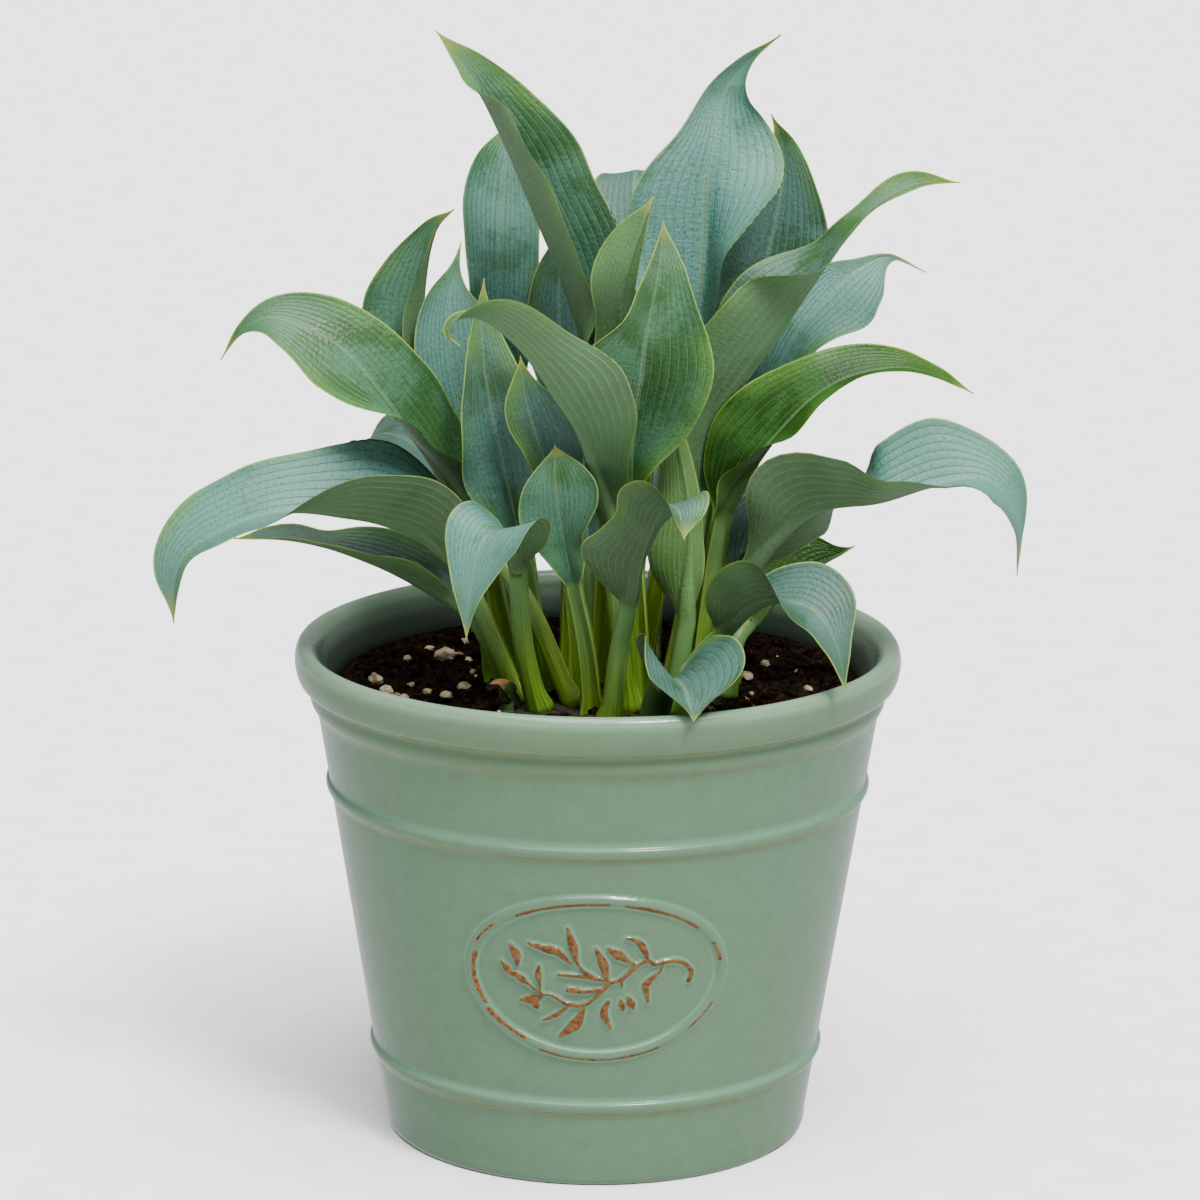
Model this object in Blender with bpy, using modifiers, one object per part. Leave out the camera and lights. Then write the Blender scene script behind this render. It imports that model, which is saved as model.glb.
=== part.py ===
"""Potted hosta: a glazed planter, its potting mix, the plant's crown and its leaves.

Metres, +Z up. The origin is the centre of the planter's base, on its axis, and the
medallion on the planter's front faces -Y. Every leaf is one closed body, from the foot
of its stalk to its tip, and stands just clear of the crown that it grows from.
"""

import math
from collections import namedtuple

import bmesh
import bpy
from mathutils import Vector

MM = 0.001
GAP = 0.3  # clearance between pieces that touch

# Planter, in millimetres
POT_STEPS = 64
FOOT_RADIUS = 105.5
FOOT_RECESS = 3.0
DRAIN_RADIUS = 10.0
FLOOR_TOP = 13.0
WALL_SLOPE = 0.16  # outward run of the wall per unit of height
WALL_THICKNESS = 10.5
RIB_HEIGHTS = (42.2, 176.8)
RIB_HALF_HEIGHT = 3.0
RIB_PROUD = 2.0
COLLAR_BOTTOM = 216.0
LIP_BOTTOM = 226.5
LIP_TOP = 248.0
LIP_OUTER = 150.0
LIP_INNER = 139.2
MOUTH_WALL = 129.0  # inner radius just under the lip

# Medallion on the front of the wall
OVAL_HEIGHT = 112.0
OVAL_HALF_WIDTH = 65.5
OVAL_HALF_HEIGHT = 42.0
OVAL_BEAD = 2.4
SPRIG_BEAD = 1.5

# Potting mix and crown
SOIL_TOP = 228.0
SOIL_RADIUS = 128.5
CROWN_TOP = 229.0
CROWN_DEPTH = 22.0
CROWN_CENTRE = (5.0, -22.0)
CROWN_RADII = (67.0, 68.0)

# Leaves
STALK_ROWS = 4
BLADE_ROWS = 10
STALK_FOOT = 5.6  # half widths of the stalk, at its foot and under the blade
STALK_NECK = 4.0
STALK_FOLD = 48.0  # how far the stalk's two flanks turn up, in degrees
STALK_DEPTH = 4.6
BLADE_DEPTH = 1.2
TIP_HALF_WIDTH = 0.9
SECTION = (-1.0, -0.5, 0.0, 0.5, 1.0)  # across the upper face, margin to margin
SECTION_UNDER = (0.5, 0.0, -0.5)  # back again across the underside

COLOURS = {
    "glaze": ((0.24, 0.38, 0.29), 0.15),
    "potting_mix": ((0.035, 0.022, 0.015), 0.9),
    "crown": ((0.20, 0.26, 0.09), 0.6),
    "leaf_blue": ((0.12, 0.25, 0.20), 0.55),
    "leaf_green": ((0.09, 0.22, 0.09), 0.55),
    "leaf_pale": ((0.22, 0.32, 0.13), 0.55),
    "dry_sheath": ((0.33, 0.22, 0.11), 0.85),
}

# One leaf. stalk and blade are points along the midrib in millimetres, foot to tip; face is
# the compass angle that the upper side looks to when upright (0 is -Y, 90 is +X). roll,
# left and right are angles in degrees, evenly spaced from the neck to the tip: the blade's
# turn about its midrib, and how far each half is folded up. widths are the two halves'
# greatest widths and belly is where along the blade they are reached. A larger taper draws
# the tip out longer, and a smaller base makes the blade's foot squarer. A blade that is no
# plain heart has rows instead: each half's widths, evenly spaced from the neck to the tip.
Leaf = namedtuple("Leaf", "name colour face stalk blade widths roll left right"
                          " belly taper base curl rows")


def leaf(name, colour, face, stalk, blade, widths, roll, left, right,
         belly=0.38, taper=1.6, base=0.9, curl=12.0, rows=((), ())):
    """Return one leaf's description."""
    return Leaf(name, colour, face, stalk, blade, widths, roll, left, right,
                belly, taper, base, curl, rows)


LEAVES = (
    leaf("leaf_tall_left", "leaf_blue", 0, [(0, -16), (4, -14, 310)],
         [(4, -12, 375), (-14, -15, 425), (-30, -18, 463), (-46, -18, 500), (-61, -13, 528),
          (-80, -6, 551)],
         (27, 38), (0, 0, 0, 0), (85, 100, 118, 122, 123, 124, 122, 40, 10), (25, 12, 8, 10),
         taper=1.5,
         rows=((4, 18, 27, 29, 27, 23, 15, 6, 0), (4, 22, 30, 35, 33, 32, 22, 11, 0))),
    leaf("leaf_broad_right", "leaf_blue", 0, [(20, -10), (34, 0, 310)],
         [(45, 12, 378), (50, 20, 436), (51, 24, 469), (54, 28, 490), (59, 36, 514),
          (72, 37, 531), (87, 34, 544)],
         (40, 46), (0, 0, 0, 0), (45, 15, 8, 20), (75, 80, 0, 80), belly=0.42, taper=2.6,
         rows=((4, 23, 36, 40, 36, 20, 10, 5, 0), (4, 24.5, 39.5, 45, 41, 36, 21, 5, 0))),
    leaf("leaf_dark_right", "leaf_blue", -10, [(42, 8), (56, 28, 320)],
         [(66, 45, 375), (80, 52, 420), (89, 57, 460), (90, 60, 485), (84, 60, 501)],
         (26, 33), (0, 0, 0, 0), (45, 20, 10, 20), (45, 20, 10, 20), taper=1.6),
    leaf("leaf_far_back", "leaf_blue", 0, [(14, 14), (22, 30, 320)],
         [(25, 45, 370), (22, 58, 420), (18, 68, 450), (17, 82, 467), (19, 106, 463),
          (22, 128, 438)],
         (27, 26), (0, 0, 0, 0), (45, 10, -12, 0), (45, 12, -6, 0)),
    leaf("leaf_swept_right", "leaf_pale", -90, [(34, -30), (44, -18, 280)],
         [(49, -15, 318), (57, -20, 363), (68, -24, 382), (85, -28, 407), (103, -30, 435),
          (115, -30, 453), (130, -26, 469), (151, -20, 480), (173, -14, 480)],
         (29, 32), (0, 0, 0, 0, -8, -50, -80), (60, 68, 70, 70, 14, 8, 20),
         (60, 76, 80, 76, 10, 8, 20), taper=1.7,
         rows=((4, 19, 29, 32, 33, 23, 9, 8, 0), (4, 21, 31, 34, 31, 18, 3, 3, 0))),
    leaf("leaf_pale_right", "leaf_blue", -90, [(46, -8), (60, 4, 300)],
         [(68, 14, 345), (83, 20, 373), (97, 25, 398), (110, 30, 414), (124, 34, 427),
          (142, 38, 434), (161, 40, 426)],
         (16, 36), (0, -55, -60, -60), (50, 20, 10, 10), (50, 20, 10, 10),
         rows=((4, 9, 13, 16, 17, 15, 5, 1.5, 0), (4, 12, 16, 17, 23, 29, 22, 2, 0))),
    leaf("leaf_mid_right", "leaf_green", -90, [(48, -28), (54, -24, 285)],
         [(58, -26, 315), (72, -34, 342), (87, -36, 362), (104, -34, 379), (122, -30, 388),
          (145, -24, 391), (165, -18, 386), (182, -12, 376)],
         (16, 24), (-10, -20, -40, -44, -42, -40, -38, -36, -35), (55, 30, 15, 10),
         (50, 80, 60, 29, 25, 30, 25, 20, 15),
         rows=((4, 21, 29, 27, 20, 17, 10.5, 5, 0), (4, 14, 16, 14, 12, 4.5, 4, 5, 0))),
    leaf("leaf_low_right", "leaf_blue", -90, [(52, -46), (60, -42, 262)],
         [(67, -39, 284), (86, -46, 310), (106, -52, 327), (134, -56, 332), (162, -54, 340),
          (188, -50, 341), (202, -48, 322), (203, -46, 293)],
         (27, 36), (60, 62, 58, 36, 4, -14, -26, -28, -30), (0, -3, -4, 50, 66, 54, 24, -8, -10),
         (20, 16, 18, 16, 30, 18, 10, 8, 8),
         rows=((4, 14, 17, 23, 29, 33, 19, 11.5, 0), (4, 11, 36, 35, 22, 21, 18, 8, 0))),
    leaf("leaf_low_left", "leaf_blue", 90, [(-38, -46), (-54, -43, 268)],
         [(-68, -41, 297), (-84, -51, 313), (-104, -61, 322), (-121, -68, 326), (-150, -72, 329),
          (-180, -72, 319), (-201, -68, 302), (-205, -62, 271)],
         (29, 29), (0, 4, 40, 50), (72, 60, 8, 15), (62, 56, 8, 15), belly=0.34, taper=1.3,
         base=0.5,
         rows=((4, 30, 37, 32, 22, 8, 8, 5, 0), (4, 27, 40, 37, 30, 28, 25, 12.5, 0))),
    leaf("leaf_under_left", "leaf_blue", 90, [(-42, -36), (-57, -31, 262)],
         [(-70, -25, 275), (-87, -20, 282), (-107, -16, 289), (-132, -12, 297), (-156, -10, 301),
          (-179, -8, 300)],
         (17, 19), (0, 0, 10, 20), (60, 45, 30, 20), (60, 50, 30, 20),
         rows=((4, 10, 12, 10, 8, 7, 5, 3, 0), (4, 16, 21, 21, 17, 10.5, 9.5, 6, 0))),
    leaf("leaf_mid_left", "leaf_green", 90, [(-12, -52), (-34, -44, 278)],
         [(-60, -28, 311), (-77, -26, 339), (-92, -30, 360), (-104, -34, 378), (-122, -36, 400),
          (-142, -36, 412), (-159, -34, 416), (-173, -32, 409), (-183, -30, 394)],
         (26, 28), (0, 34, 50, 40), (72, 52, 12, 10), (40, 20, 12, 10),
         rows=((4, 20, 28, 32, 38, 31, 19, 6, 0), (4, 20, 27, 29, 26, 22, 16, 5, 0))),
    leaf("leaf_slim_left", "leaf_green", 0, [(-50, 0), (-64, 14, 300)],
         [(-71, 20, 340), (-84, 18, 372), (-88, 16, 400), (-86, 16, 430), (-81, 16, 450),
          (-72, 16, 460)],
         (28, 24), (0, 0, 0, 0), (25, 12, 8, 10), (90, 120, 118, 80), taper=1.3,
         rows=((4, 16, 24, 28, 29, 28, 20, 9, 0), (4, 16, 22, 22, 20, 17, 11, 4, 0))),
    leaf("leaf_curled_left", "leaf_green", 0, [(-40, -18), (-54, -6, 290)],
         [(-61, -2, 330), (-70, -2, 369), (-74, -2, 394), (-74, 0, 418), (-70, 3, 433),
          (-68, 6, 446)],
         (19, 22), (0, 0, 0, 0), (45, 18, 10, 20), (45, 20, 15, 20),
         rows=((4, 12, 16, 17, 17, 16, 12, 4.5, 0), (4, 16, 23, 25, 24, 21, 17, 3, 0))),
    leaf("leaf_blue_back", "leaf_blue", 0, [(-28, 4), (-38, 20, 300)],
         [(-44, 30, 345), (-49, 27, 395), (-50, 26, 440), (-48, 32, 472), (-43, 38, 502)],
         (20, 20), (0, 0, 0, 0), (45, 18, 10, 20), (45, 20, 12, 20), belly=0.62, taper=1.2,
         rows=((4, 10, 15, 15.5, 15.5, 17, 19, 15, 0), ())),
    leaf("leaf_inner_left", "leaf_blue", 10, [(-24, -38), (-32, -33, 270)],
         [(-38, -31, 305), (-47, -36, 347), (-54, -39, 382), (-57, -35, 410), (-56, -28, 434)],
         (23, 23), (0, 0, 0, 0), (50, 22, 15, 20), (50, 22, 15, 20),
         rows=((4, 16, 22.5, 21.5, 17.5, 12, 8, 4, 0), ())),
    leaf("leaf_hooked_front", "leaf_pale", 150, [(15, -62), (8, -61, 290)],
         [(4, -63, 325), (-7, -85, 366), (-21, -95, 391), (-36, -102, 414), (-54, -107, 430),
          (-67, -111, 431), (-72, -113, 424), (-65, -114, 418)],
         (30, 25), (0, 0, 0, 0), (30, 12, 25, 40), (60, 66, 56, 40), taper=1.8,
         rows=((4, 14, 21, 35, 38, 24, 20, 9, 0), (4, 15, 18, 16, 12, 6, 4, 3, 0))),
    leaf("leaf_heart_front", "leaf_green", 0, [(22, -50), (18, -46, 290)],
         [(16, -43, 332), (17, -51, 367), (20, -57, 393), (22, -58, 413), (27, -54, 440),
          (30, -43, 466)],
         (26.5, 34), (0, 0, 0, 0), (45, 12, 8, 15), (50, 18, 10, 15), taper=1.8, base=0.7,
         rows=((4, 20, 28, 33, 32, 13, 8, 3.5, 0), (4, 13, 26, 32, 35, 30, 20, 10, 0))),
    leaf("leaf_pale_curl", "leaf_pale", 180, [(12, -34), (11, -27, 310)],
         [(11, -27, 365), (10, -39, 405), (10, -44, 431), (16, -43, 453), (25, -38, 476)],
         (13, 18), (0, 0, 0, 0), (40, 45, 40, 20), (20, 14, 15, 15), belly=0.48,
         rows=((4, 9, 12, 12, 11, 9, 6, 3, 0), (4, 11, 15, 13, 12.5, 16, 15.5, 9, 0))),
    leaf("leaf_folded_blue", "leaf_blue", -20, [(-6, -36), (-12, -36, 280)],
         [(-18, -42, 315), (-28, -52, 354), (-35, -55, 379), (-38, -53, 401)],
         (17, 16), (0, 0, 0, 0), (40, 18, 12, 15), (50, 30, 20, 15),
         rows=((4, 5, 6, 7, 9, 12, 11, 5.5, 0), (4, 16, 24, 27, 30, 30, 23, 8, 0))),
    leaf("leaf_drooping_front", "leaf_blue", 143, [(-29, -62), (-36, -67, 262)],
         [(-38, -81, 304), (-43, -99, 324), (-49, -111, 330), (-56, -118, 321), (-60, -123, 303),
          (-62, -126, 280)],
         (23, 19), (0, 0, 0, 0), (40, 20, 8, 10), (40, 30, 8, 10),
         rows=((4, 14, 20, 26, 28, 18, 9.5, 4.5, 0), (4, 20, 27, 23, 22, 16, 10.5, 5, 0))),
    leaf("leaf_cupped_front", "leaf_blue", 0, [(-2, -66), (-6, -67, 262)],
         [(-12, -70, 293), (-16, -76, 314), (-19, -82, 335), (-21, -82, 350), (-21, -77, 363)],
         (13, 22), (0, 0, 0, 0), (66, 35, 20, 15), (50, 18, 12, 20),
         rows=((4, 8, 12, 17, 21, 20, 16, 7, 0), (4, 8, 9, 10, 15, 20, 20, 13, 0))),
    leaf("leaf_nodding_front", "leaf_pale", -150, [(7, -78), (10, -78, 262)],
         [(14, -82, 286), (19, -92, 309), (25, -103, 329), (31, -116, 343), (37, -127, 343),
          (40, -134, 331)],
         (23, 27), (0, 0, 0, 0), (50, 45, 10, 0), (40, 42, 55, 25), taper=1.3,
         rows=((4, 14, 20, 21, 20, 20, 22, 14, 0), (4, 19, 29, 23, 19, 22, 16, 8, 0))),
    leaf("leaf_small_low", "leaf_blue", -168, [(28, -78), (30, -84, 238)],
         [(33, -94, 250), (36, -110, 258), (41, -130, 257.5), (45, -152, 248)],
         (40, 30), (0, 0, 0, 0), (48, 36, 26, 20), (70, 56, 36, 30), belly=0.4, base=0.5,
         rows=((10, 30, 33, 34, 34, 31, 24, 10, 0), (10, 26, 26, 27, 25, 23, 22, 5, 0))),
    leaf("leaf_arched_right", "leaf_blue", -120, [(38, -64), (48, -66, 255)],
         [(59, -70, 270), (72, -80, 284), (88, -90, 291), (104, -99, 287), (114, -105, 271),
          (118, -109, 250)],
         (22, 25), (0, -8, -40, -50), (50, 36, 12, 15), (66, 66, 15, 10),
         rows=((4, 12, 16, 20, 24, 20, 9, 3, 0), (4, 19, 28, 30, 26, 13, 8, 4, 0))),
    leaf("leaf_tucked_right", "leaf_blue", -80, [(66, -10), (68, -2, 262)],
         [(70, 4, 279), (79, 13, 297), (90, 21, 305), (102, 29, 306), (113, 33, 298)],
         (20, 22), (0, -30, -40, -40), (50, 30, 20, 15), (50, 30, 20, 15)),
    leaf("leaf_short_right", "leaf_green", -80, [(64, -32), (67, -26, 253)],
         [(74, -18, 262), (90, -10, 275), (106, -4, 286), (126, 1, 296)],
         (17, 20), (0, 5, 0, 0), (50, 66, 72, 60), (50, 35, 25, 20),
         rows=((4, 13, 16, 17, 18, 21, 17, 5, 0), ())),
    leaf("leaf_sheathing", "leaf_pale", 180, [(36, -50), (40, -48, 250)],
         [(43, -46, 268), (44, -44, 318), (38, -38, 356), (30, -33, 380)],
         (8, 15), (0, 0, 0, 0), (45, 25, 20, 20), (45, 22, 20, 20),
         rows=((4, 7, 8, 8, 7, 6, 5, 3, 0), (4, 17, 22, 21, 18, 14, 9, 5, 0))),
    leaf("leaf_back_left", "leaf_blue", 41, [(-40, 20), (-50, 26, 265)],
         [(-59, 32, 291), (-75, 52, 315), (-94, 76, 330), (-112, 98, 330), (-126, 116, 312),
          (-134, 128, 286)],
         (26, 26), (0, 20, 20, 10), (50, 22, 15, 15), (50, 22, 15, 15)),
    leaf("leaf_narrow_back", "leaf_blue", 10, [(-14, 0), (-14, 10, 310)],
         [(-15, 14, 350), (-19, 18, 395), (-20, 18, 428), (-14, 20, 458)],
         (18, 20), (0, 0, 0, 0), (45, 22, 15, 20), (45, 22, 15, 20), belly=0.5),
    leaf("leaf_back_centre", "leaf_blue", 0, [(-4, 34), (-4, 44, 252)],
         [(-5, 54, 278), (-8, 76, 330), (-11, 102, 352), (-14, 127, 344), (-16, 146, 310)],
         (26, 26), (0, 0, 0, 0), (50, 22, 15, 15), (50, 22, 15, 15)),
    leaf("leaf_back_right", "leaf_blue", -21, [(26, 32), (28, 42, 256)],
         [(32, 53, 284), (46, 76, 328), (58, 100, 344), (67, 122, 335), (74, 140, 306)],
         (24, 24), (0, 0, 0, 0), (50, 22, 15, 15), (50, 22, 15, 15)),
    leaf("leaf_back_low_right", "leaf_blue", -45, [(54, 24), (62, 36, 262)],
         [(72, 50, 285), (92, 76, 304), (110, 102, 309), (126, 126, 302), (134, 140, 290)],
         (22, 22), (0, 0, 0, 0), (50, 22, 15, 15), (50, 22, 15, 15)),
    leaf("dry_sheath", "dry_sheath", 60, [(-42, -60), (-42, -60, 232.5)],
         [(-43, -61, 235), (-45, -63, 239), (-48, -65, 242), (-52, -67, 243)],
         (3, 3), (0, 0, 0, 0), (50, 40, 30, 30), (50, 40, 30, 30)),
)


# ---------------------------------------------------------------- helpers

def clear_scene():
    """Remove whatever the file opened with."""
    for item in list(bpy.data.objects):
        bpy.data.objects.remove(item, do_unlink=True)


def material(name):
    """Return the named finish, making it on first use."""
    found = bpy.data.materials.get(name)
    if found:
        return found
    colour, roughness = COLOURS[name]
    made = bpy.data.materials.new(name)
    made.use_nodes = True
    shader = made.node_tree.nodes["Principled BSDF"]
    shader.inputs["Base Color"].default_value = (*colour, 1.0)
    shader.inputs["Roughness"].default_value = roughness
    shader.inputs["Metallic"].default_value = 0.0
    made.diffuse_color = (*colour, 1.0)
    return made


def collection(name, hidden=False):
    """Return the named collection, linked to the scene."""
    found = bpy.data.collections.get(name)
    if not found:
        found = bpy.data.collections.new(name)
        bpy.context.scene.collection.children.link(found)
        found.hide_render = hidden
    return found


def add_object(name, mesh, finish, group=None):
    """Make an object from mesh, with its finish, in its own collection."""
    item = bpy.data.objects.new(name, mesh)
    item.data.materials.append(material(finish))
    collection(group or name).objects.link(item)
    return item


def mesh_from(bm, name, smooth=True):
    """Write a bmesh to a new mesh with its faces turned outward."""
    bmesh.ops.recalc_face_normals(bm, faces=bm.faces)
    mesh = bpy.data.meshes.new(name)
    bm.to_mesh(mesh)
    bm.free()
    for face in mesh.polygons:
        face.use_smooth = smooth
    return mesh


def add_cutter(name, mesh):
    """Make a tool object for a Boolean, kept out of the render."""
    tool = bpy.data.objects.new(name, mesh)
    tool.display_type = "WIRE"
    tool.hide_render = True
    collection("cutters", hidden=True).objects.link(tool)
    return tool


def boolean(item, tool, operation):
    """Join or cut item with tool."""
    modifier = item.modifiers.new(operation.title() + " " + tool.name, "BOOLEAN")
    modifier.operation = operation
    modifier.solver = "EXACT"
    modifier.object = tool
    return modifier


def catmull(points, count):
    """Return count points, evenly spaced along a smooth curve through points."""
    ends = [points[0] * 2 - points[1], *points, points[-1] * 2 - points[-2]]
    fine = []
    for p0, p1, p2, p3 in zip(ends, ends[1:], ends[2:], ends[3:]):
        for k in range(12):
            t = k / 12
            fine.append(0.5 * (2 * p1 + (p2 - p0) * t + (2 * p0 - 5 * p1 + 4 * p2 - p3) * t * t
                               + (3 * p1 - p0 - 3 * p2 + p3) * t ** 3))
    fine.append(points[-1].copy())
    lengths = [0.0]
    for a, b in zip(fine, fine[1:]):
        lengths.append(lengths[-1] + (b - a).length)
    result = []
    k = 0
    for i in range(count):
        target = lengths[-1] * i / (count - 1)
        while k < len(fine) - 2 and lengths[k + 1] < target:
            k += 1
        span = max(lengths[k + 1] - lengths[k], 1e-9)
        result.append(fine[k].lerp(fine[k + 1], min((target - lengths[k]) / span, 1.0)))
    return result


def smoothstep(t):
    """Ease t from 0 to 1."""
    t = min(max(t, 0.0), 1.0)
    return t * t * (3 - 2 * t)


def blend(values, u):
    """Read a row of evenly spaced values at u, from 0 to 1, with soft joins."""
    place = min(max(u, 0.0), 1.0) * (len(values) - 1)
    index = min(int(place), len(values) - 2)
    return values[index] + (values[index + 1] - values[index]) * smoothstep(place - index)


def smooth_value(values, u):
    """Read a smooth curve through evenly spaced values at u, none below zero."""
    row = [values[0], *values, values[-1]]
    place = min(max(u, 0.0), 1.0) * (len(values) - 1)
    index = min(int(place), len(values) - 2)
    t = place - index
    p0, p1, p2, p3 = row[index:index + 4]
    rise = 2 * p0 - 5 * p1 + 4 * p2 - p3
    bend = 3 * p1 - p0 - 3 * p2 + p3
    return max(p1 + 0.5 * t * (p2 - p0 + t * (rise + t * bend)), 0.0)


# ---------------------------------------------------------------- planter

def wall_radius(height):
    """Outer radius of the planter's straight wall at a height, in millimetres."""
    return FOOT_RADIUS + WALL_SLOPE * (height - 4.0)


def rib_profile(height):
    """Profile points of one raised band around the wall."""
    points = []
    for angle in (-90, -45, 0, 45, 90):
        turn = math.radians(angle)
        z = height + RIB_HALF_HEIGHT * math.sin(turn)
        points.append((wall_radius(z) + RIB_PROUD * math.cos(turn) + 0.1, z))
    return points


def pot_profile():
    """Closed outline of the planter's wall, as (radius, height) points, up its outside."""
    outline = [(DRAIN_RADIUS, FOOT_RECESS), (88.0, FOOT_RECESS), (90.5, 0.0), (102.5, 0.0),
               (104.9, 1.4), (wall_radius(5.0), 5.0)]
    outline += rib_profile(RIB_HEIGHTS[0])
    outline += rib_profile(RIB_HEIGHTS[1])
    outline += [(wall_radius(COLLAR_BOTTOM), COLLAR_BOTTOM), (141.2, 218.4), (142.4, 222.0),
                (142.0, LIP_BOTTOM), (146.4, 228.4), (149.0, 233.0), (LIP_OUTER, 239.5),
                (149.4, 244.4), (147.6, 247.2), (145.2, LIP_TOP), (142.2, 246.8),
                (LIP_INNER, 243.8), (137.4, 240.4), (133.4, 235.0), (130.3, 229.5),
                (MOUTH_WALL, 224.0), (128.6, 216.0)]
    floor_wall = wall_radius(FLOOR_TOP + 6.0) - WALL_THICKNESS
    outline += [(floor_wall, FLOOR_TOP + 6.0), (floor_wall - 6.0, FLOOR_TOP),
                (DRAIN_RADIUS, FLOOR_TOP)]
    return outline


def wall_mesh(name, outline):
    """A closed outline of (radius, height) points in millimetres, down its outer side."""
    mesh = bpy.data.meshes.new(name)
    points = [(r * MM, 0, z * MM) for r, z in reversed(outline)]
    mesh.from_pydata(points, [(k, (k + 1) % len(points)) for k in range(len(points))], [])
    return mesh


def turn_about_axis(item, steps):
    """Turn an outline about Z with a Screw modifier."""
    screw = item.modifiers.new("Turn", "SCREW")
    screw.axis = "Z"
    screw.angle = math.tau
    screw.steps = steps
    screw.render_steps = steps
    screw.use_merge_vertices = True
    screw.merge_threshold = 0.00001
    screw.use_smooth_shade = True
    return screw


def turned_mesh(name, outline, steps):
    """Spin an open outline of (radius, height) points in millimetres about Z."""
    bm = bmesh.new()
    ring = [bm.verts.new((r * MM, 0, z * MM)) for r, z in outline]
    edges = [bm.edges.new(pair) for pair in zip(ring, ring[1:])]
    bmesh.ops.spin(bm, geom=ring + edges, cent=(0, 0, 0), axis=(0, 0, 1),
                   angle=math.tau, steps=steps, use_merge=True)
    bmesh.ops.remove_doubles(bm, verts=bm.verts, dist=0.00001)
    return mesh_from(bm, name)


def on_wall(across, height):
    """Place a point of the medallion on the wall: across is measured around it."""
    turn = across / wall_radius(OVAL_HEIGHT)
    radius = wall_radius(height)
    return Vector((radius * math.sin(turn), -radius * math.cos(turn), height))


def bead(name, points, radius, cyclic):
    """A round bead along points on the wall, as a mesh."""
    curve = bpy.data.curves.new(name, "CURVE")
    curve.dimensions = "3D"
    curve.bevel_depth = radius * MM
    curve.bevel_resolution = 1
    curve.use_fill_caps = True
    spline = curve.splines.new("POLY")
    spline.points.add(len(points) - 1)
    for slot, point in zip(spline.points, points):
        slot.co = (*(point * MM), 1.0)
    spline.use_cyclic_u = cyclic
    holder = bpy.data.objects.new(name, curve)
    mesh = bpy.data.meshes.new_from_object(holder)
    bpy.data.objects.remove(holder)
    return mesh


def leaflet(name, across, height, length, angle):
    """A small almond-shaped relief leaf lying on the wall."""
    bm = bmesh.new()
    bmesh.ops.create_uvsphere(bm, u_segments=8, v_segments=5, radius=1.0)
    turn = math.radians(angle)
    for vert in bm.verts:
        x, y, z = vert.co
        along = z * length / 2
        over = x * length * 0.17
        place = on_wall(across + along * math.cos(turn) - over * math.sin(turn),
                        height + along * math.sin(turn) + over * math.cos(turn))
        out = Vector((place.x, place.y, 0)).normalized()
        vert.co = (place + out * (y * 1.6 + 0.2)) * MM
    return mesh_from(bm, name)


# The sprig: its stem and its leaflets as (across, height, length, angle)
SPRIG_STEM = ((46, 112), (44, 119), (38, 123), (28, 123), (16, 117), (6, 109), (-8, 104),
              (-22, 103), (-34, 106))
SPRIG_LEAFLETS = (
    (-40, 111, 12, 150), (-33, 99, 12, 215), (-24, 112, 12, 110), (-20, 94, 13, 235),
    (-11, 113, 13, 125), (-8, 95, 14, 240), (3, 98, 13, 265), (4, 121, 14, 115),
    (14, 107, 11, 275), (18, 127, 12, 125), (26, 113, 12, 250), (-15, 128, 12, 100),
    (-2, 131, 11, 95),
)


def build_pot():
    """The planter: wall, lip, ribs and medallion fired as one piece."""
    pot = add_object("pot", wall_mesh("pot", pot_profile()), "glaze")
    turn_about_axis(pot, POT_STEPS)
    oval = [on_wall(OVAL_HALF_WIDTH * math.cos(math.tau * k / 40),
                    OVAL_HEIGHT + OVAL_HALF_HEIGHT * math.sin(math.tau * k / 40))
            for k in range(40)]
    tools = [add_cutter("oval_bead", bead("oval_bead", oval, OVAL_BEAD, True))]
    stem = [on_wall(*point) for point in SPRIG_STEM]
    tools.append(add_cutter("sprig_stem", bead("sprig_stem", stem, SPRIG_BEAD, False)))
    for index, spec in enumerate(SPRIG_LEAFLETS):
        name = "sprig_leaflet_%02d" % (index + 1)
        tools.append(add_cutter(name, leaflet(name, *spec)))
    for tool in tools:
        boolean(pot, tool, "UNION")
    return pot


# ---------------------------------------------------------------- mix and crown

def soil_surface(x, y):
    """Height of the mix: a gentle dome with shallow lumps, in millimetres."""
    reach = math.hypot(x, y) / SOIL_RADIUS
    lumps = 0.7 * math.sin(x / 9.0 + 1.3) * math.sin(y / 11.0) + 0.5 * math.sin((x - y) / 7.0)
    return SOIL_TOP + 0.6 * (1 - reach * reach) + lumps * min(1.0, 4 * (1 - reach))


def build_soil():
    """The mix that fills the planter, with a pocket for the crown."""
    foot = wall_radius(FLOOR_TOP + 6.5) - WALL_THICKNESS
    outline = [(0.0, FLOOR_TOP + GAP), (foot - 6.6, FLOOR_TOP + GAP),
               (foot - GAP - 0.3, FLOOR_TOP + 6.6), (128.6 - GAP, 216.0),
               (SOIL_RADIUS - GAP, SOIL_TOP - 1.0), (SOIL_RADIUS - 1.5, SOIL_TOP)]
    outline += [(r, SOIL_TOP) for r in (115, 98, 80, 62, 44, 24, 0)]
    mesh = turned_mesh("soil", outline, 48)
    for vert in mesh.vertices:
        x, y, z = (value / MM for value in vert.co)
        if z > SOIL_TOP - 0.5:
            vert.co.z = soil_surface(x, y) * MM
    soil = add_object("soil", mesh, "potting_mix")
    pocket = crown_mesh("crown_pocket", GAP)
    boolean(soil, add_cutter("crown_pocket", pocket), "DIFFERENCE")
    return soil


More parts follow.
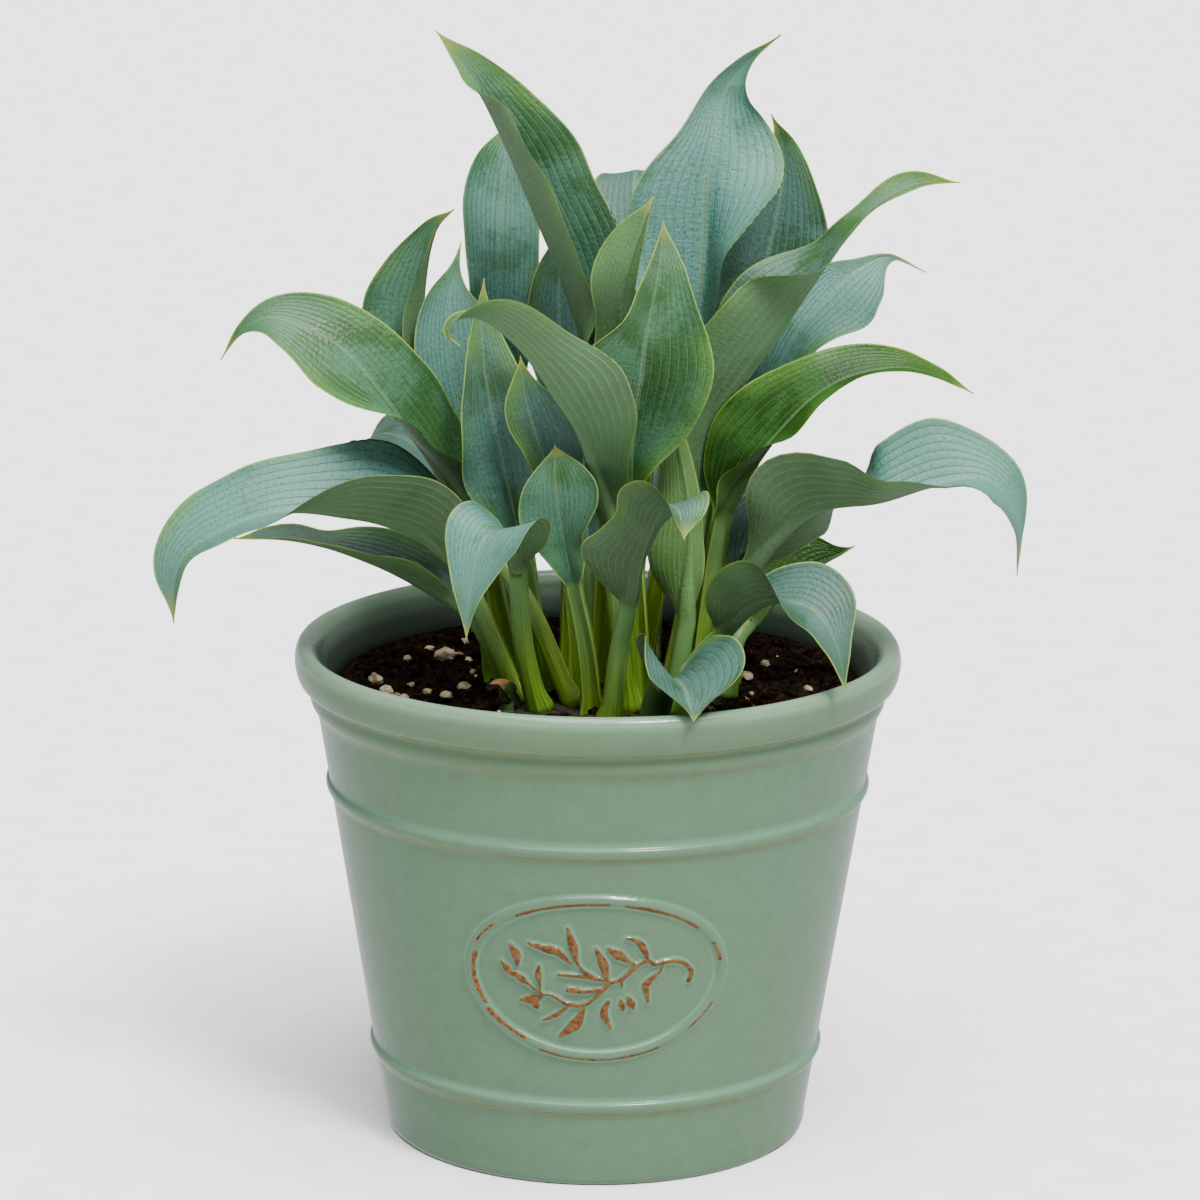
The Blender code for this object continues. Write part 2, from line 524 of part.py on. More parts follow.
def crown_mesh(name, grow):
    """The crown's lens shape, larger by grow all round and open at the top if grown."""
    outline = [(0.0, -CROWN_DEPTH), (0.45, -CROWN_DEPTH), (0.78, -0.72 * CROWN_DEPTH),
               (0.95, -0.4 * CROWN_DEPTH), (1.0, -3.0), (0.975, 0.0), (0.0, 0.0)]
    bm = bmesh.new()
    ring = [bm.verts.new((r, 0, z)) for r, z in outline]
    edges = [bm.edges.new(pair) for pair in zip(ring, ring[1:])]
    bmesh.ops.spin(bm, geom=ring + edges, cent=(0, 0, 0), axis=(0, 0, 1),
                   angle=math.tau, steps=32, use_merge=True)
    bmesh.ops.remove_doubles(bm, verts=bm.verts, dist=0.001)
    for vert in bm.verts:
        x, y, z = vert.co
        turn = math.atan2(y, x)
        knobs = 1 + 0.03 * math.sin(5 * turn) + 0.02 * math.sin(8 * turn + 1)
        over = 6.0 if grow and z > -0.5 else 0.0
        reach = Vector((x * (CROWN_RADII[0] * knobs + grow), y * (CROWN_RADII[1] * knobs + grow)))
        vert.co = Vector((CROWN_CENTRE[0] + reach.x, CROWN_CENTRE[1] + reach.y,
                          CROWN_TOP + z + over - (grow if z < -3.5 else 0.0))) * MM
    return mesh_from(bm, name)


def build_crown():
    """The rootstock, set level with the mix, that every leaf grows from."""
    return add_object("crown", crown_mesh("crown", 0.0), "crown")


# ---------------------------------------------------------------- leaves

def half_widths(u, spec, stalk):
    """Half widths of the leaf's left and right sides at u along its blade."""
    if u <= 0:
        return stalk, stalk
    if u < spec.belly:
        shape = math.sin(math.pi / 2 * u / spec.belly) ** spec.base
    else:
        shape = (1 - ((u - spec.belly) / (1 - spec.belly)) ** 2) ** spec.taper
    left, right = (max(stalk, smooth_value(row, u)) if row else stalk + width * shape
                   for width, row in zip(spec.widths, spec.rows))
    return left, right


def frame_at(tangent, face, roll):
    """Return the side and upward directions across a midrib."""
    turn = math.radians(face)
    looks = Vector((math.sin(turn), -math.cos(turn), 0))
    side = Vector((0, 0, 1)).cross(looks)
    side = (side - tangent * side.dot(tangent)).normalized()
    up = side.cross(tangent)
    angle = math.radians(roll)
    return (side * math.cos(angle) + up * math.sin(angle),
            up * math.cos(angle) - side * math.sin(angle))


def across(q, width, fold, curl):
    """Offset (out, up) and normal angle of a half section at q, from 0 to 1."""
    start = math.radians(fold - curl / 2)
    bend = math.radians(curl)
    if abs(bend) < 0.01:
        return width * q * math.cos(start), width * q * math.sin(start), start
    end = start + bend * q
    out = width / bend * (math.sin(end) - math.sin(start))
    up = width / bend * (math.cos(start) - math.cos(end))
    return out, up, end


def section(spec, centre, side, up, u, along):
    """Return one closed ring of points across a leaf."""
    stalk = STALK_FOOT + (STALK_NECK - STALK_FOOT) * along if u <= 0 else STALK_NECK
    stalk = stalk * (1 - smoothstep(u * 1.6)) + TIP_HALF_WIDTH * smoothstep(u * 1.6)
    left, right = half_widths(u, spec, stalk)
    open_up = smoothstep(u / 0.22)
    thick = BLADE_DEPTH + (STALK_DEPTH - BLADE_DEPTH) * (1 - smoothstep(u * 1.8))
    ring = []
    for q in SECTION + SECTION_UNDER:
        blade, folds, sign = (right, spec.right, 1) if q >= 0 else (left, spec.left, -1)
        fold = STALK_FOLD + (blend(folds, u) - STALK_FOLD) * open_up
        curl = 30 + (spec.curl - 30) * open_up
        out, rise, angle = across(abs(q), blade, fold, curl)
        ring.append([sign * out, rise, sign * angle, q])
    for entry in ring[len(SECTION):]:
        depth = thick * (1 - entry[3] ** 2) + 0.35 * BLADE_DEPTH
        entry[0] += depth * math.sin(entry[2]) if entry[3] else 0.0
        entry[1] -= depth * math.cos(entry[2]) if entry[3] else depth
    return [centre + side * out + up * rise for out, rise, _, _ in ring]


def leaf_rings(spec):
    """Return the leaf's rings from the foot of its stalk to its tip."""
    foot = Vector((*spec.stalk[0], CROWN_TOP + GAP))
    rest = [Vector(point) for point in spec.stalk[1:] + spec.blade[:1]]
    stalk = catmull([foot, *rest], STALK_ROWS)
    blade = catmull([Vector(point) for point in spec.blade], BLADE_ROWS + 1)
    points = stalk[:-1] + blade
    rings = []
    for index, centre in enumerate(points):
        before = points[max(index - 1, 0)]
        after = points[min(index + 1, len(points) - 1)]
        tangent = (after - before).normalized()
        if index == 0:
            tangent = Vector((0, 0, 1))
        u = max(0.0, (index - STALK_ROWS + 1) / BLADE_ROWS)
        side, up = frame_at(tangent, spec.face, blend(spec.roll, u))
        ring = section(spec, centre, side, up, u, index / (STALK_ROWS - 1))
        rings.append(ring)
    return rings


def leaf_mesh(spec):
    """Skin a leaf: a grid wrapped round its sections, welded and capped."""
    rings = leaf_rings(spec)
    count = len(rings[0])
    bm = bmesh.new()
    bmesh.ops.create_grid(bm, x_segments=count, y_segments=len(rings) - 1, size=1.0)
    over = (len(SECTION) - 1.0) / count * 2 - 1
    upper = [face for face in bm.faces if face.calc_center_median().x < over]
    lower = [face for face in bm.faces if face.calc_center_median().x > over]
    bmesh.ops.triangulate(bm, faces=upper, quad_method="FIXED")
    bmesh.ops.triangulate(bm, faces=lower, quad_method="ALTERNATE")
    for vert in bm.verts:
        column = round((vert.co.x + 1) / 2 * count) % count
        row = round((vert.co.y + 1) / 2 * (len(rings) - 1))
        vert.co = rings[row][column] * MM
    bmesh.ops.remove_doubles(bm, verts=bm.verts, dist=0.00001)
    bmesh.ops.holes_fill(bm, edges=bm.edges, sides=count)
    return mesh_from(bm, spec.name)


def build_leaves():
    """Every leaf of the plant."""
    return [add_object(spec.name, leaf_mesh(spec), spec.colour) for spec in LEAVES]


def main():
    """Build the potted plant."""
    clear_scene()
    build_pot()
    build_soil()
    build_crown()
    build_leaves()
    bpy.context.view_layer.update()


main()
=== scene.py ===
"""Looks of a potted hosta: glazed planter, potting mix, crown, bract and leaves.

Shapes are worked out in millimetres and written in metres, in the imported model's frame:
+Z up, with the planter's medallion facing -Y. Every piece rides on the model's one body.
"""

from __future__ import annotations

import logging
import math
import random
from dataclasses import dataclass, field
from enum import Enum
from typing import Callable, Sequence

import bmesh
import bpy
import numpy as np
from mathutils import Matrix, Vector, noise

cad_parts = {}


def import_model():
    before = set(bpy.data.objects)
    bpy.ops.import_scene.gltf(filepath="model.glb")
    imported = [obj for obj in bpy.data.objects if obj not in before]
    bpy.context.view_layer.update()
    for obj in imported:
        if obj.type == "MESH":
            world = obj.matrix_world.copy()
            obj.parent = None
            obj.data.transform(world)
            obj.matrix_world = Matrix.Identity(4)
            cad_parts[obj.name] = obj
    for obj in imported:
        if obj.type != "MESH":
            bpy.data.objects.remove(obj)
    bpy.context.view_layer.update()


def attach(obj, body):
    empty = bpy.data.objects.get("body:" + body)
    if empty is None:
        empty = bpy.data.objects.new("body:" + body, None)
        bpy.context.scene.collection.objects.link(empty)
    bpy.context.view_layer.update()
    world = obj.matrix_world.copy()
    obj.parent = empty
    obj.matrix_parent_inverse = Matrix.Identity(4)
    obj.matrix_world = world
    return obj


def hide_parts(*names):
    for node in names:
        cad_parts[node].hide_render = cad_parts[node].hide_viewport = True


LOG = logging.getLogger("potted_hosta")
MM = 0.001
BODY = "root"
WELD = 1e-5  # points of a turned shape nearer than this, in metres, are one
SEAM = 1e-7  # the same for a leaf, whose seam and ends meet exactly
FAR = 1e3  # millimetres; farther than any two places on the object

Point = tuple[float, float, float]
Colour = tuple[float, float, float]
Outline = Sequence[tuple[float, float]]
Values = dict[str, np.ndarray]
Socket = bpy.types.NodeSocket
Material = bpy.types.Material
BMesh = bmesh.types.BMesh


def tone(red: float, green: float, blue: float) -> Colour:
    """Turn display values from 0 to 255 into a linear colour.

    Args:
        red: Display red.
        green: Display green.
        blue: Display blue.

    Returns:
        The linear colour.
    """
    shown = [value / 255.0 for value in (red, green, blue)]
    return tuple(value / 12.92 if value <= 0.04045 else ((value + 0.055) / 1.055) ** 2.4
                 for value in shown)


def shade(colour: Colour, factor: float) -> Colour:
    """Make a linear colour darker or paler."""
    return tuple(min(1.0, value * factor) for value in colour)


def ease(t: np.ndarray | float) -> np.ndarray:
    """Ease from 0 to 1 as t does."""
    t = np.clip(t, 0.0, 1.0)
    return t * t * (3.0 - 2.0 * t)


def tent(t: np.ndarray | float, half: float) -> np.ndarray:
    """Fall straight from 1 to 0 as t goes from 0 to half on either side."""
    return np.clip(1 - np.abs(t) / half, 0, 1)


def between(p0: object, p1: object, p2: object, p3: object, t: object) -> object:
    """Read a smooth curve through four values at t, from 0 at p1 to 1 at p2."""
    return p1 + 0.5 * t * (p2 - p0 + t * (2 * p0 - 5 * p1 + 4 * p2 - p3
                                          + t * (3 * p1 - p0 - 3 * p2 + p3)))


def locate(count: int, u: np.ndarray) -> tuple[np.ndarray, np.ndarray]:
    """Find places in a row of evenly spaced values.

    Args:
        count: How many values the row has.
        u: The places, from 0 to 1.

    Returns:
        The value before each place, as an index, and how far on to the next it lies.
    """
    place = np.clip(u, 0.0, 1.0) * (count - 1)
    index = np.minimum(place.astype(int), count - 2)
    return index, place - index


def blend(values: Sequence[float], u: np.ndarray) -> np.ndarray:
    """Read evenly spaced values at places from 0 to 1, with soft joins."""
    row = np.array(values, dtype=float)
    index, t = locate(len(row), u)
    return row[index] + (row[index + 1] - row[index]) * ease(t)


def even_curve(values: Sequence[float], u: np.ndarray) -> np.ndarray:
    """Read a smooth curve through evenly spaced values, none below zero."""
    row = np.array([values[0], *values, values[-1]], dtype=float)
    index, t = locate(len(values), u)
    return np.maximum(between(*(row[index + k] for k in range(4)), t), 0.0)


def lengths_along(points: np.ndarray) -> np.ndarray:
    """Measure how far along its line each point lies."""
    steps = np.linalg.norm(np.diff(points, axis=0), axis=1)
    return np.concatenate([[0.0], np.cumsum(steps)])


def read_along(points: np.ndarray, lengths: np.ndarray, places: np.ndarray) -> np.ndarray:
    """Read a line of points at distances along it."""
    return np.stack([np.interp(places, lengths, axis) for axis in points.T], axis=1)


def smooth_path(points: Sequence[Sequence[float]], count: int) -> np.ndarray:
    """Space points evenly along a smooth curve.

    Args:
        points: The points that the curve passes.
        count: How many to return.

    Returns:
        The spaced points, as rows.
    """
    knots = np.array(points, dtype=float)
    ends = np.vstack([2 * knots[0] - knots[1], knots, 2 * knots[-1] - knots[-2]])
    t = np.linspace(0.0, 1.0, 24, endpoint=False)[:, None]
    spans = [between(*ends[k:k + 4], t) for k in range(len(knots) - 1)]
    fine = np.vstack([*spans, knots[-1]])
    lengths = lengths_along(fine)
    return read_along(fine, lengths, np.linspace(0.0, lengths[-1], count))


def line_gap(place: np.ndarray, path: np.ndarray, halves: np.ndarray) -> np.ndarray:
    """Measure how far places lie from a stroke's edge, negative inside it.

    Args:
        place: The places, as rows.
        path: The stroke's middle line, as rows.
        halves: Its half width at each of those.

    Returns:
        The distances.
    """
    best = np.full(len(place), FAR)
    for a, b, half_a, half_b in zip(path, path[1:], halves, halves[1:]):
        along = b - a
        s = np.clip(((place - a) @ along) / max(along @ along, 1e-9), 0, 1)
        gap = np.linalg.norm(place - (a + s[:, None] * along), axis=1)
        best = np.minimum(best, gap - (half_a + (half_b - half_a) * s))
    return best


# ---------------------------------------------------------------- meshes

def turned(outline: Outline, arcs: Sequence[tuple[float, int]], start: float = 0.0,
           closed: bool = False) -> BMesh:
    """Turn an outline about the planter's axis.

    Args:
        outline: The outline as (radius, height).
        arcs: The angles that it is turned by, one after another, and the steps in each.
        start: The angle that it starts from.
        closed: Whether the outline's last point joins its first.

    Returns:
        The welded mesh.
    """
    bm = bmesh.new()
    ring = [bm.verts.new((r * MM * math.cos(start), r * MM * math.sin(start), z * MM))
            for r, z in outline]
    following = ring[1:] + ring[:1] if closed else ring[1:]
    geom = ring + [bm.edges.new(pair) for pair in zip(ring, following)]
    for angle, steps in arcs:
        spun = bmesh.ops.spin(bm, geom=geom, cent=(0, 0, 0), axis=(0, 0, 1), angle=angle,
                              steps=steps, use_merge=len(arcs) == 1)
        geom = spun["geom_last"]
    bmesh.ops.remove_doubles(bm, verts=bm.verts, dist=WELD)
    bmesh.ops.recalc_face_normals(bm, faces=bm.faces)
    return bm


def reshape(bm: BMesh, shape: Callable[[np.ndarray], tuple[np.ndarray, Values]]) -> None:
    """Move all of a mesh's points at once and note values at each.

    Args:
        bm: The mesh, changed in place.
        shape: Takes the points as rows in metres, and returns their new places in
            millimetres and the values by name.
    """
    mesh = bpy.data.meshes.new("reshaped")
    bm.to_mesh(mesh)
    flat = np.empty(len(mesh.vertices) * 3)
    mesh.vertices.foreach_get("co", flat)
    spots, values = shape(flat.reshape(-1, 3))
    mesh.vertices.foreach_set("co", (spots * MM).ravel())
    for key, part in values.items():
        layer = mesh.attributes.new(key, "FLOAT", "POINT")
        layer.data.foreach_set("value", part.astype(np.float32))
    bm.clear()
    bm.from_mesh(mesh)
    bpy.data.meshes.remove(mesh)


def add_object(name: str, bm: BMesh, finish: Material) -> bpy.types.Object:
    """Write a mesh to the scene.

    Args:
        name: The object's name.
        bm: The mesh; it is freed.
        finish: Its material.

    Returns:
        The new object.
    """
    mesh = bpy.data.meshes.new(name)
    bm.to_mesh(mesh)
    bm.free()
    mesh.materials.append(finish)
    item = bpy.data.objects.new(name, mesh)
    bpy.context.scene.collection.objects.link(item)
    return item


@dataclass
class Piece:
    """A finished mesh object that rides on the plant's body.

    Attributes:
        name: The object's name.
        slot: The record's material slot for its finish; not used.
        stands_for: The CAD nodes that it replaces.
    """

    name: str
    slot: str
    stands_for: tuple[str, ...] = ()

    def place(self, bm: BMesh, finish: Material) -> None:
        """Write a mesh to the scene as this piece.

        Args:
            bm: The mesh, in metres; it is freed.
            finish: The piece's material.
        """
        for face in bm.faces:
            face.smooth = True
        LOG.info("%s: %d faces", self.name, len(bm.faces))
        item = add_object(self.name, bm, finish)
        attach(item, BODY)
        if self.stands_for:
            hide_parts(*self.stands_for)


# ---------------------------------------------------------------- finishes

class Graph:
    """A small hand for laying out a material's nodes."""

    def __init__(self, name: str, roughness: float, specular: float) -> None:
        """Start a Principled material.

        Args:
            name: The material's name.
            roughness: The shader's roughness where nothing drives it.
            specular: The shader's specular level.
        """
        self.material = bpy.data.materials.new(name)
        self.material.use_nodes = True
        self.tree = self.material.node_tree
        self.shader = self.tree.nodes["Principled BSDF"]
        self.shader.inputs["Roughness"].default_value = roughness
        self.shader.inputs["Specular IOR Level"].default_value = specular

    def node(self, kind: str, inputs: dict[int | str, object] | None = None,
             **settings: object) -> bpy.types.Node:
        """Add a node.

        Args:
            kind: The node's type.
            inputs: What its sockets are fed, by index or name: sockets or values.
            **settings: Its properties.

        Returns:
            The node.
        """
        made = self.tree.nodes.new(kind)
        for key, value in settings.items():
            setattr(made, key, value)
        for key, value in (inputs or {}).items():
            self.feed(made.inputs[key], value)
        return made

    def feed(self, socket: Socket, value: object) -> None:
        """Link a socket to another, or set its value."""
        if isinstance(value, Socket):
            self.tree.links.new(value, socket)
        elif socket.type == "RGBA":
            socket.default_value = (*value, 1.0)
        else:
            socket.default_value = value

    def maths(self, operation: str, *values: object) -> Socket:
        """Work out a sum, product or the like from sockets or numbers."""
        return self.node("ShaderNodeMath", dict(enumerate(values)), operation=operation).outputs[0]

    def times(self, first: object, second: object) -> Socket:
        """Multiply two values."""
        return self.maths("MULTIPLY", first, second)

    def plus(self, first: object, second: object) -> Socket:
        """Add two values."""
        return self.maths("ADD", first, second)

    def ramp(self, value: object, low: float, high: float, start: float = 0.0,
             end: float = 1.0) -> Socket:
        """Ease a value from start to end as it goes from low to high."""
        fed = dict(enumerate((value, low, high, start, end)))
        return self.node("ShaderNodeMapRange", fed, interpolation_type="SMOOTHSTEP").outputs[0]

    def coats(self, colour: object, *coats: tuple[object, Socket, float]) -> Socket:
        """Lay colours one over another.

        Args:
            colour: The lowest colour.
            *coats: Each coat's colour, where it covers and how much of it covers there.

        Returns:
            The mixed colour.
        """
        for over, where, share in coats:
            fed = {0: self.times(where, share), 6: colour, 7: over}
            colour = self.node("ShaderNodeMix", fed, data_type="RGBA").outputs[2]
        return colour

    def attribute(self, name: str) -> Socket:
        """Read one of the piece's own values."""
        return self.node("ShaderNodeAttribute", attribute_name=name).outputs["Fac"]

    def place(self) -> Socket:
        """Read the object coordinates, in metres."""
        return self.node("ShaderNodeTexCoord").outputs["Object"]

    def noise(self, vector: Socket, scale: float, detail: float = 3.0, rough: float = 0.55,
              warp: float = 0.0) -> Socket:
        """Read a noise pattern.

        Args:
            vector: Where it is read.
            scale: Its scale.
            detail: Its octaves.
            rough: How strong the fine octaves are.
            warp: Its distortion.

        Returns:
            The pattern's value.
        """
        fed = {"Vector": vector, "Scale": scale, "Detail": detail, "Roughness": rough,
               "Distortion": warp}
        return self.node("ShaderNodeTexNoise", fed).outputs[0]

    def lengthwise(self, across: float, along: float, start: float, detail: float,
                   rough: float = 0.55, warp: float = 0.0) -> Socket:
        """Read a noise pattern that follows a leaf's veins.

        Args:
            across: Its scale from one vein to the next.
            along: Its scale for each millimetre along the leaf.
            start: Where it starts, which differs from leaf to leaf.
            detail: Its octaves.
            rough: How strong the fine octaves are.
            warp: Its distortion.

        Returns:
            The pattern's value.
        """
        fed = {0: self.times(self.attribute("lane"), across),
               1: self.times(self.attribute("run"), along), 2: start}
        vector = self.node("ShaderNodeCombineXYZ", fed).outputs[0]
        return self.noise(vector, 1.0, detail, rough, warp)

    def bump(self, height: Socket, distance: float, strength: float,
             under: Socket | None = None) -> Socket:
        """Bump a normal by a height.

        Args:
            height: The height.
            distance: Metres for a height of one.
            strength: How much of it shows.
            under: Another bump that this one lies on.

        Returns:
            The normal.
        """
        fed = {"Strength": strength, "Distance": distance, "Height": height}
        if under is not None:
            fed["Normal"] = under
        return self.node("ShaderNodeBump", fed).outputs[0]

    def finish(self, colour: Socket, normal: Socket, roughness: Socket | None = None) -> Material:
        """Feed the shader.

        Args:
            colour: The base colour.
            normal: The bumped normal.
            roughness: What drives the roughness, if anything does.

        Returns:
            The material.
        """
        self.feed(self.shader.inputs["Base Color"], colour)
        self.feed(self.shader.inputs["Normal"], normal)
        if roughness is not None:
            self.feed(self.shader.inputs["Roughness"], roughness)
        return self.material


@dataclass(frozen=True)
class GlazeFinish:
    """The planter's glossy sage glaze, thin and brown where it ran off raised edges, with painted shade on
    the inside wall and a painted highlight on the rim's top.
    """

    body: Colour = tone(75, 100, 79)
    body_deep: Colour = tone(68, 92, 70)
    body_pale: Colour = tone(94, 118, 98)
    body_warm: Colour = tone(80, 97, 70)
    pooled: Colour = tone(88, 132, 108)
    # the rim's top is painted paler: partly a greyer glaze, partly a painted highlight where the light from
    # above falls
    rim_pale_and_highlight: Colour = tone(106, 134, 110)
    thin: Colour = tone(88, 82, 42)
    # painted shade: the inside wall's near-black green is partly the glaze's own darker colour and mostly
    # shade painted in under the rim
    inside: Colour = tone(11, 22, 10)
    worn: Colour = tone(108, 70, 26)
    worn_dark: Colour = tone(66, 36, 10)

    def make(self) -> Material:
        """Make the glaze."""
        g = Graph("planter_glaze", roughness=0.12, specular=0.27)
        place = g.place()
        cloud = g.noise(place, 9.0, 4.0, 0.6)
        mottle = g.noise(place, 120.0, 3.0, 0.6)
        speck = g.noise(place, 900.0, 2.0, 0.5)
        grain = g.noise(place, 420.0, 4.0, 0.7)
        inner = g.attribute("inner")
        edge = g.times(g.attribute("edge"), g.ramp(mottle, 0.25, 0.7, 0.45, 1.0))
        bare = g.ramp(g.plus(g.attribute("worn"), g.times(grain, 0.35)), 0.55, 0.72)
        brown = g.coats(self.worn, (self.worn_dark, g.ramp(grain, 0.35, 0.65), 1.0))
        colour = g.coats(
            self.body,
            (self.body_warm, g.ramp(cloud, 0.35, 0.7), 0.3),
            (self.body_deep, g.ramp(mottle, 0.35, 0.75), 0.5),
            (self.body_pale, g.ramp(speck, 0.55, 0.8), 0.25),
            (self.body_warm, g.attribute("warm"), 0.7),
            # painted highlight, over a greyer glaze, along the rim's top
            (self.rim_pale_and_highlight, g.attribute("crest"), 0.6),
            # painted shade over the inside wall
            (self.inside, inner, 0.85),
            (self.pooled, g.attribute("pool"), 0.8),
            (self.thin, edge, 0.8),
            (brown, bare, 1.0))
        matt = g.maths("MAXIMUM", g.times(bare, 0.36), g.times(inner, 0.4))
        rough = g.plus(g.ramp(mottle, 0.3, 0.8, 0.09, 0.15), matt)
        dimple = g.bump(g.noise(place, 55.0, 2.0, 0.4), 0.0006, 0.5)
        normal = g.bump(g.plus(g.times(mottle, 0.6), grain), 0.00016, 0.5, dimple)
        return g.finish(colour, normal, rough)


@dataclass(frozen=True)
class LeafFinish:
    """A leaf's skin: bloom over green, paler veins and margin, and a duller underside.

    Attributes:
        name: The material's name.
        bloom: The upper side under its waxy bloom.
        green: The upper side where the bloom is thin or rubbed away.
        under: The underside, its olive colour with the glow of light shining through the leaf painted in.
        bloomed: How much of the upper side the bloom covers, from 0 to 1.
        seed: Where its patterns start.
        gloss: The shader's specular level.
        fresh: Yellow-green patches near the margins and the tip.
        stalk: The stalk's foot.
        stalk_dark: The stalk's stripes.
        stalk_bloom: The stalk under the blade.
        stalk_rough: How matt the stalk is.
        margin: The blade's thin edge.
        tip: The blade's last few millimetres.
        vein_pale: The veins seen from above.
        vein_under: The veins seen from below.
    """

    name: str
    bloom: Colour
    green: Colour
    under: Colour
    bloomed: float
    seed: float
    gloss: float = 0.34
    fresh: Colour = tone(76, 118, 42)
    stalk: Colour = tone(98, 126, 26)
    stalk_dark: Colour = tone(54, 84, 24)
    stalk_bloom: Colour = tone(72, 104, 56)
    stalk_rough: float = 0.36
    margin: Colour = tone(122, 142, 58)
    tip: Colour = tone(136, 144, 50)
    vein_pale: Colour = tone(112, 138, 100)
    vein_under: Colour = tone(108, 132, 90)

    def make(self) -> Material:
        """Make the leaf's skin."""
        g = Graph(self.name, roughness=0.5, specular=self.gloss)
        place, seed = g.place(), self.seed
        rim, blade, under, reach = (g.attribute(key) for key in ("rim", "blade", "under", "reach"))
        # veins lie at whole numbers of lane, from the midrib at 0 out to the margin
        lane = g.maths("ABSOLUTE", g.attribute("lane"))
        off_vein = g.maths("PINGPONG", lane, 0.5)
        held = g.times(blade, g.ramp(rim, 0.0, 1.6))
        vein = g.times(g.ramp(off_vein, 0.02, 0.10, 1.0, 0.0), held)
        midrib = g.times(g.ramp(lane, 0.10, 0.42, 1.0, 0.0), held)
        # streaks and flecks follow the veins; clouds and drifts don't
        streak = g.lengthwise(1.9, 0.055, seed, 4.0, 0.62)
        fleck = g.lengthwise(4.6, 0.55, seed + 3.0, 3.0, 0.6, 0.4)
        cloud = g.noise(place, 30.0, 5.0, 0.62, 0.5)
        drift = g.noise(place, 14.0, 2.0, 0.5, 0.3)
        low = 0.34 + 0.24 * self.bloomed
        rubbed = g.plus(g.times(streak, 0.22), g.times(cloud, 0.8))
        thin = g.ramp(rubbed, low - 0.02, low + 0.16)
        flush = g.plus(g.times(g.ramp(drift, 0.46, 0.62), g.ramp(rim, 0.0, 13.0, 0.5, 0.0)),
                       g.times(g.ramp(reach, 0.6, 1.0), 0.12))
        green = g.coats(self.green, (shade(self.green, 0.82), g.ramp(streak, 0.35, 0.7), 1.0))
        colour = g.coats(
            self.bloom,
            (green, thin, 1.0),
            (self.green, g.ramp(rim, 1.0, 9.0, 1.0, 0.0), 0.4),
            (self.fresh, flush, 1.0),
            (shade(self.green, 0.45), g.ramp(fleck, 0.57, 0.64), 0.7),
            (self.vein_pale, vein, 0.26),
            (self.vein_pale, midrib, 0.30))
        # the underside: its own colour with painted glow of light shining through the leaf
        back = g.coats(
            self.under,
            (shade(self.under, 0.78), g.ramp(cloud, 0.3, 0.75), 1.0),
            (shade(self.under, 1.4), g.ramp(off_vein, 0.0, 0.42, 1.0, 0.0), 0.20),
            (self.vein_under, vein, 0.34),
            (self.fresh, flush, 0.6),
            (shade(self.under, 0.6), g.ramp(fleck, 0.64, 0.74), 0.4))
        stripe = g.lengthwise(2.2, 0.02, seed, 3.0, 0.6)
        stalk = g.coats(
            self.stalk,
            (self.stalk_dark, g.ramp(stripe, 0.38, 0.62), 1.0),
            (self.stalk_bloom, g.ramp(g.attribute("run"), -75.0, 0.0), 1.0),
            (self.margin, g.ramp(rim, 0.2, 1.0, 1.0, 0.0), 0.4))
        colour = g.coats(
            colour,
            (back, under, 1.0),
            (self.margin, g.times(g.ramp(rim, 0.25, 1.0, 1.0, 0.0), blade), 0.75),
            (self.tip, g.ramp(reach, 0.90, 1.0), 0.7))
        colour = g.coats(stalk, (colour, blade, 1.0))
        # relief: grooves over the veins, puckers between them and a fine grain
        pucker = g.times(g.lengthwise(1.2, 0.55, seed, 2.0, 0.5), 1.1)
        height = g.times(g.maths("SUBTRACT", pucker, vein), blade)
        upward = g.maths("SUBTRACT", 1.0, g.times(under, 2.0))
        coarse = g.bump(g.times(height, upward), 0.00042, 0.9)
        normal = g.bump(g.noise(place, 1400.0, 2.0, 0.5), 0.00006, 0.35, coarse)
        duller = g.plus(g.ramp(thin, 0.0, 1.0, 0.20, 0.04), g.times(under, 0.05))
        return g.finish(colour, normal, g.plus(g.times(duller, blade), self.stalk_rough))


@dataclass(frozen=True)
class MixFinish:
    """Moist potting mix: dark peat with browner fibres."""

    dark: Colour = tone(9, 5, 3)
    brown: Colour = tone(56, 33, 17)
    fibre: Colour = tone(82, 56, 34)
    pit: Colour = tone(8, 5, 3)

    def make(self) -> Material:
        """Make the potting mix."""
        g = Graph("potting_mix", roughness=0.95, specular=0.05)
        place = g.place()
        drawn = g.node("ShaderNodeMapping", {"Vector": place, "Scale": (1.0, 0.35, 1.0)}).outputs[0]
        lumps = g.noise(place, 260.0, 5.0, 0.7)
        wide = g.noise(place, 60.0, 3.0, 0.6)
        fibres = g.noise(drawn, 300.0, 4.0, 0.7, 1.2)
        peat = g.times(g.ramp(lumps, 0.42, 0.70), g.ramp(wide, 0.30, 0.65, 0.35, 1.0))
        colour = g.coats(
            self.dark,
            (self.brown, peat, 1.0),
            (self.fibre, g.ramp(fibres, 0.60, 0.70), 0.6),
            (self.pit, g.ramp(g.noise(place, 500.0, 2.0), 0.56, 0.64), 1.0))
        return g.finish(colour, g.bump(g.plus(lumps, fibres), 0.0022, 1.0))


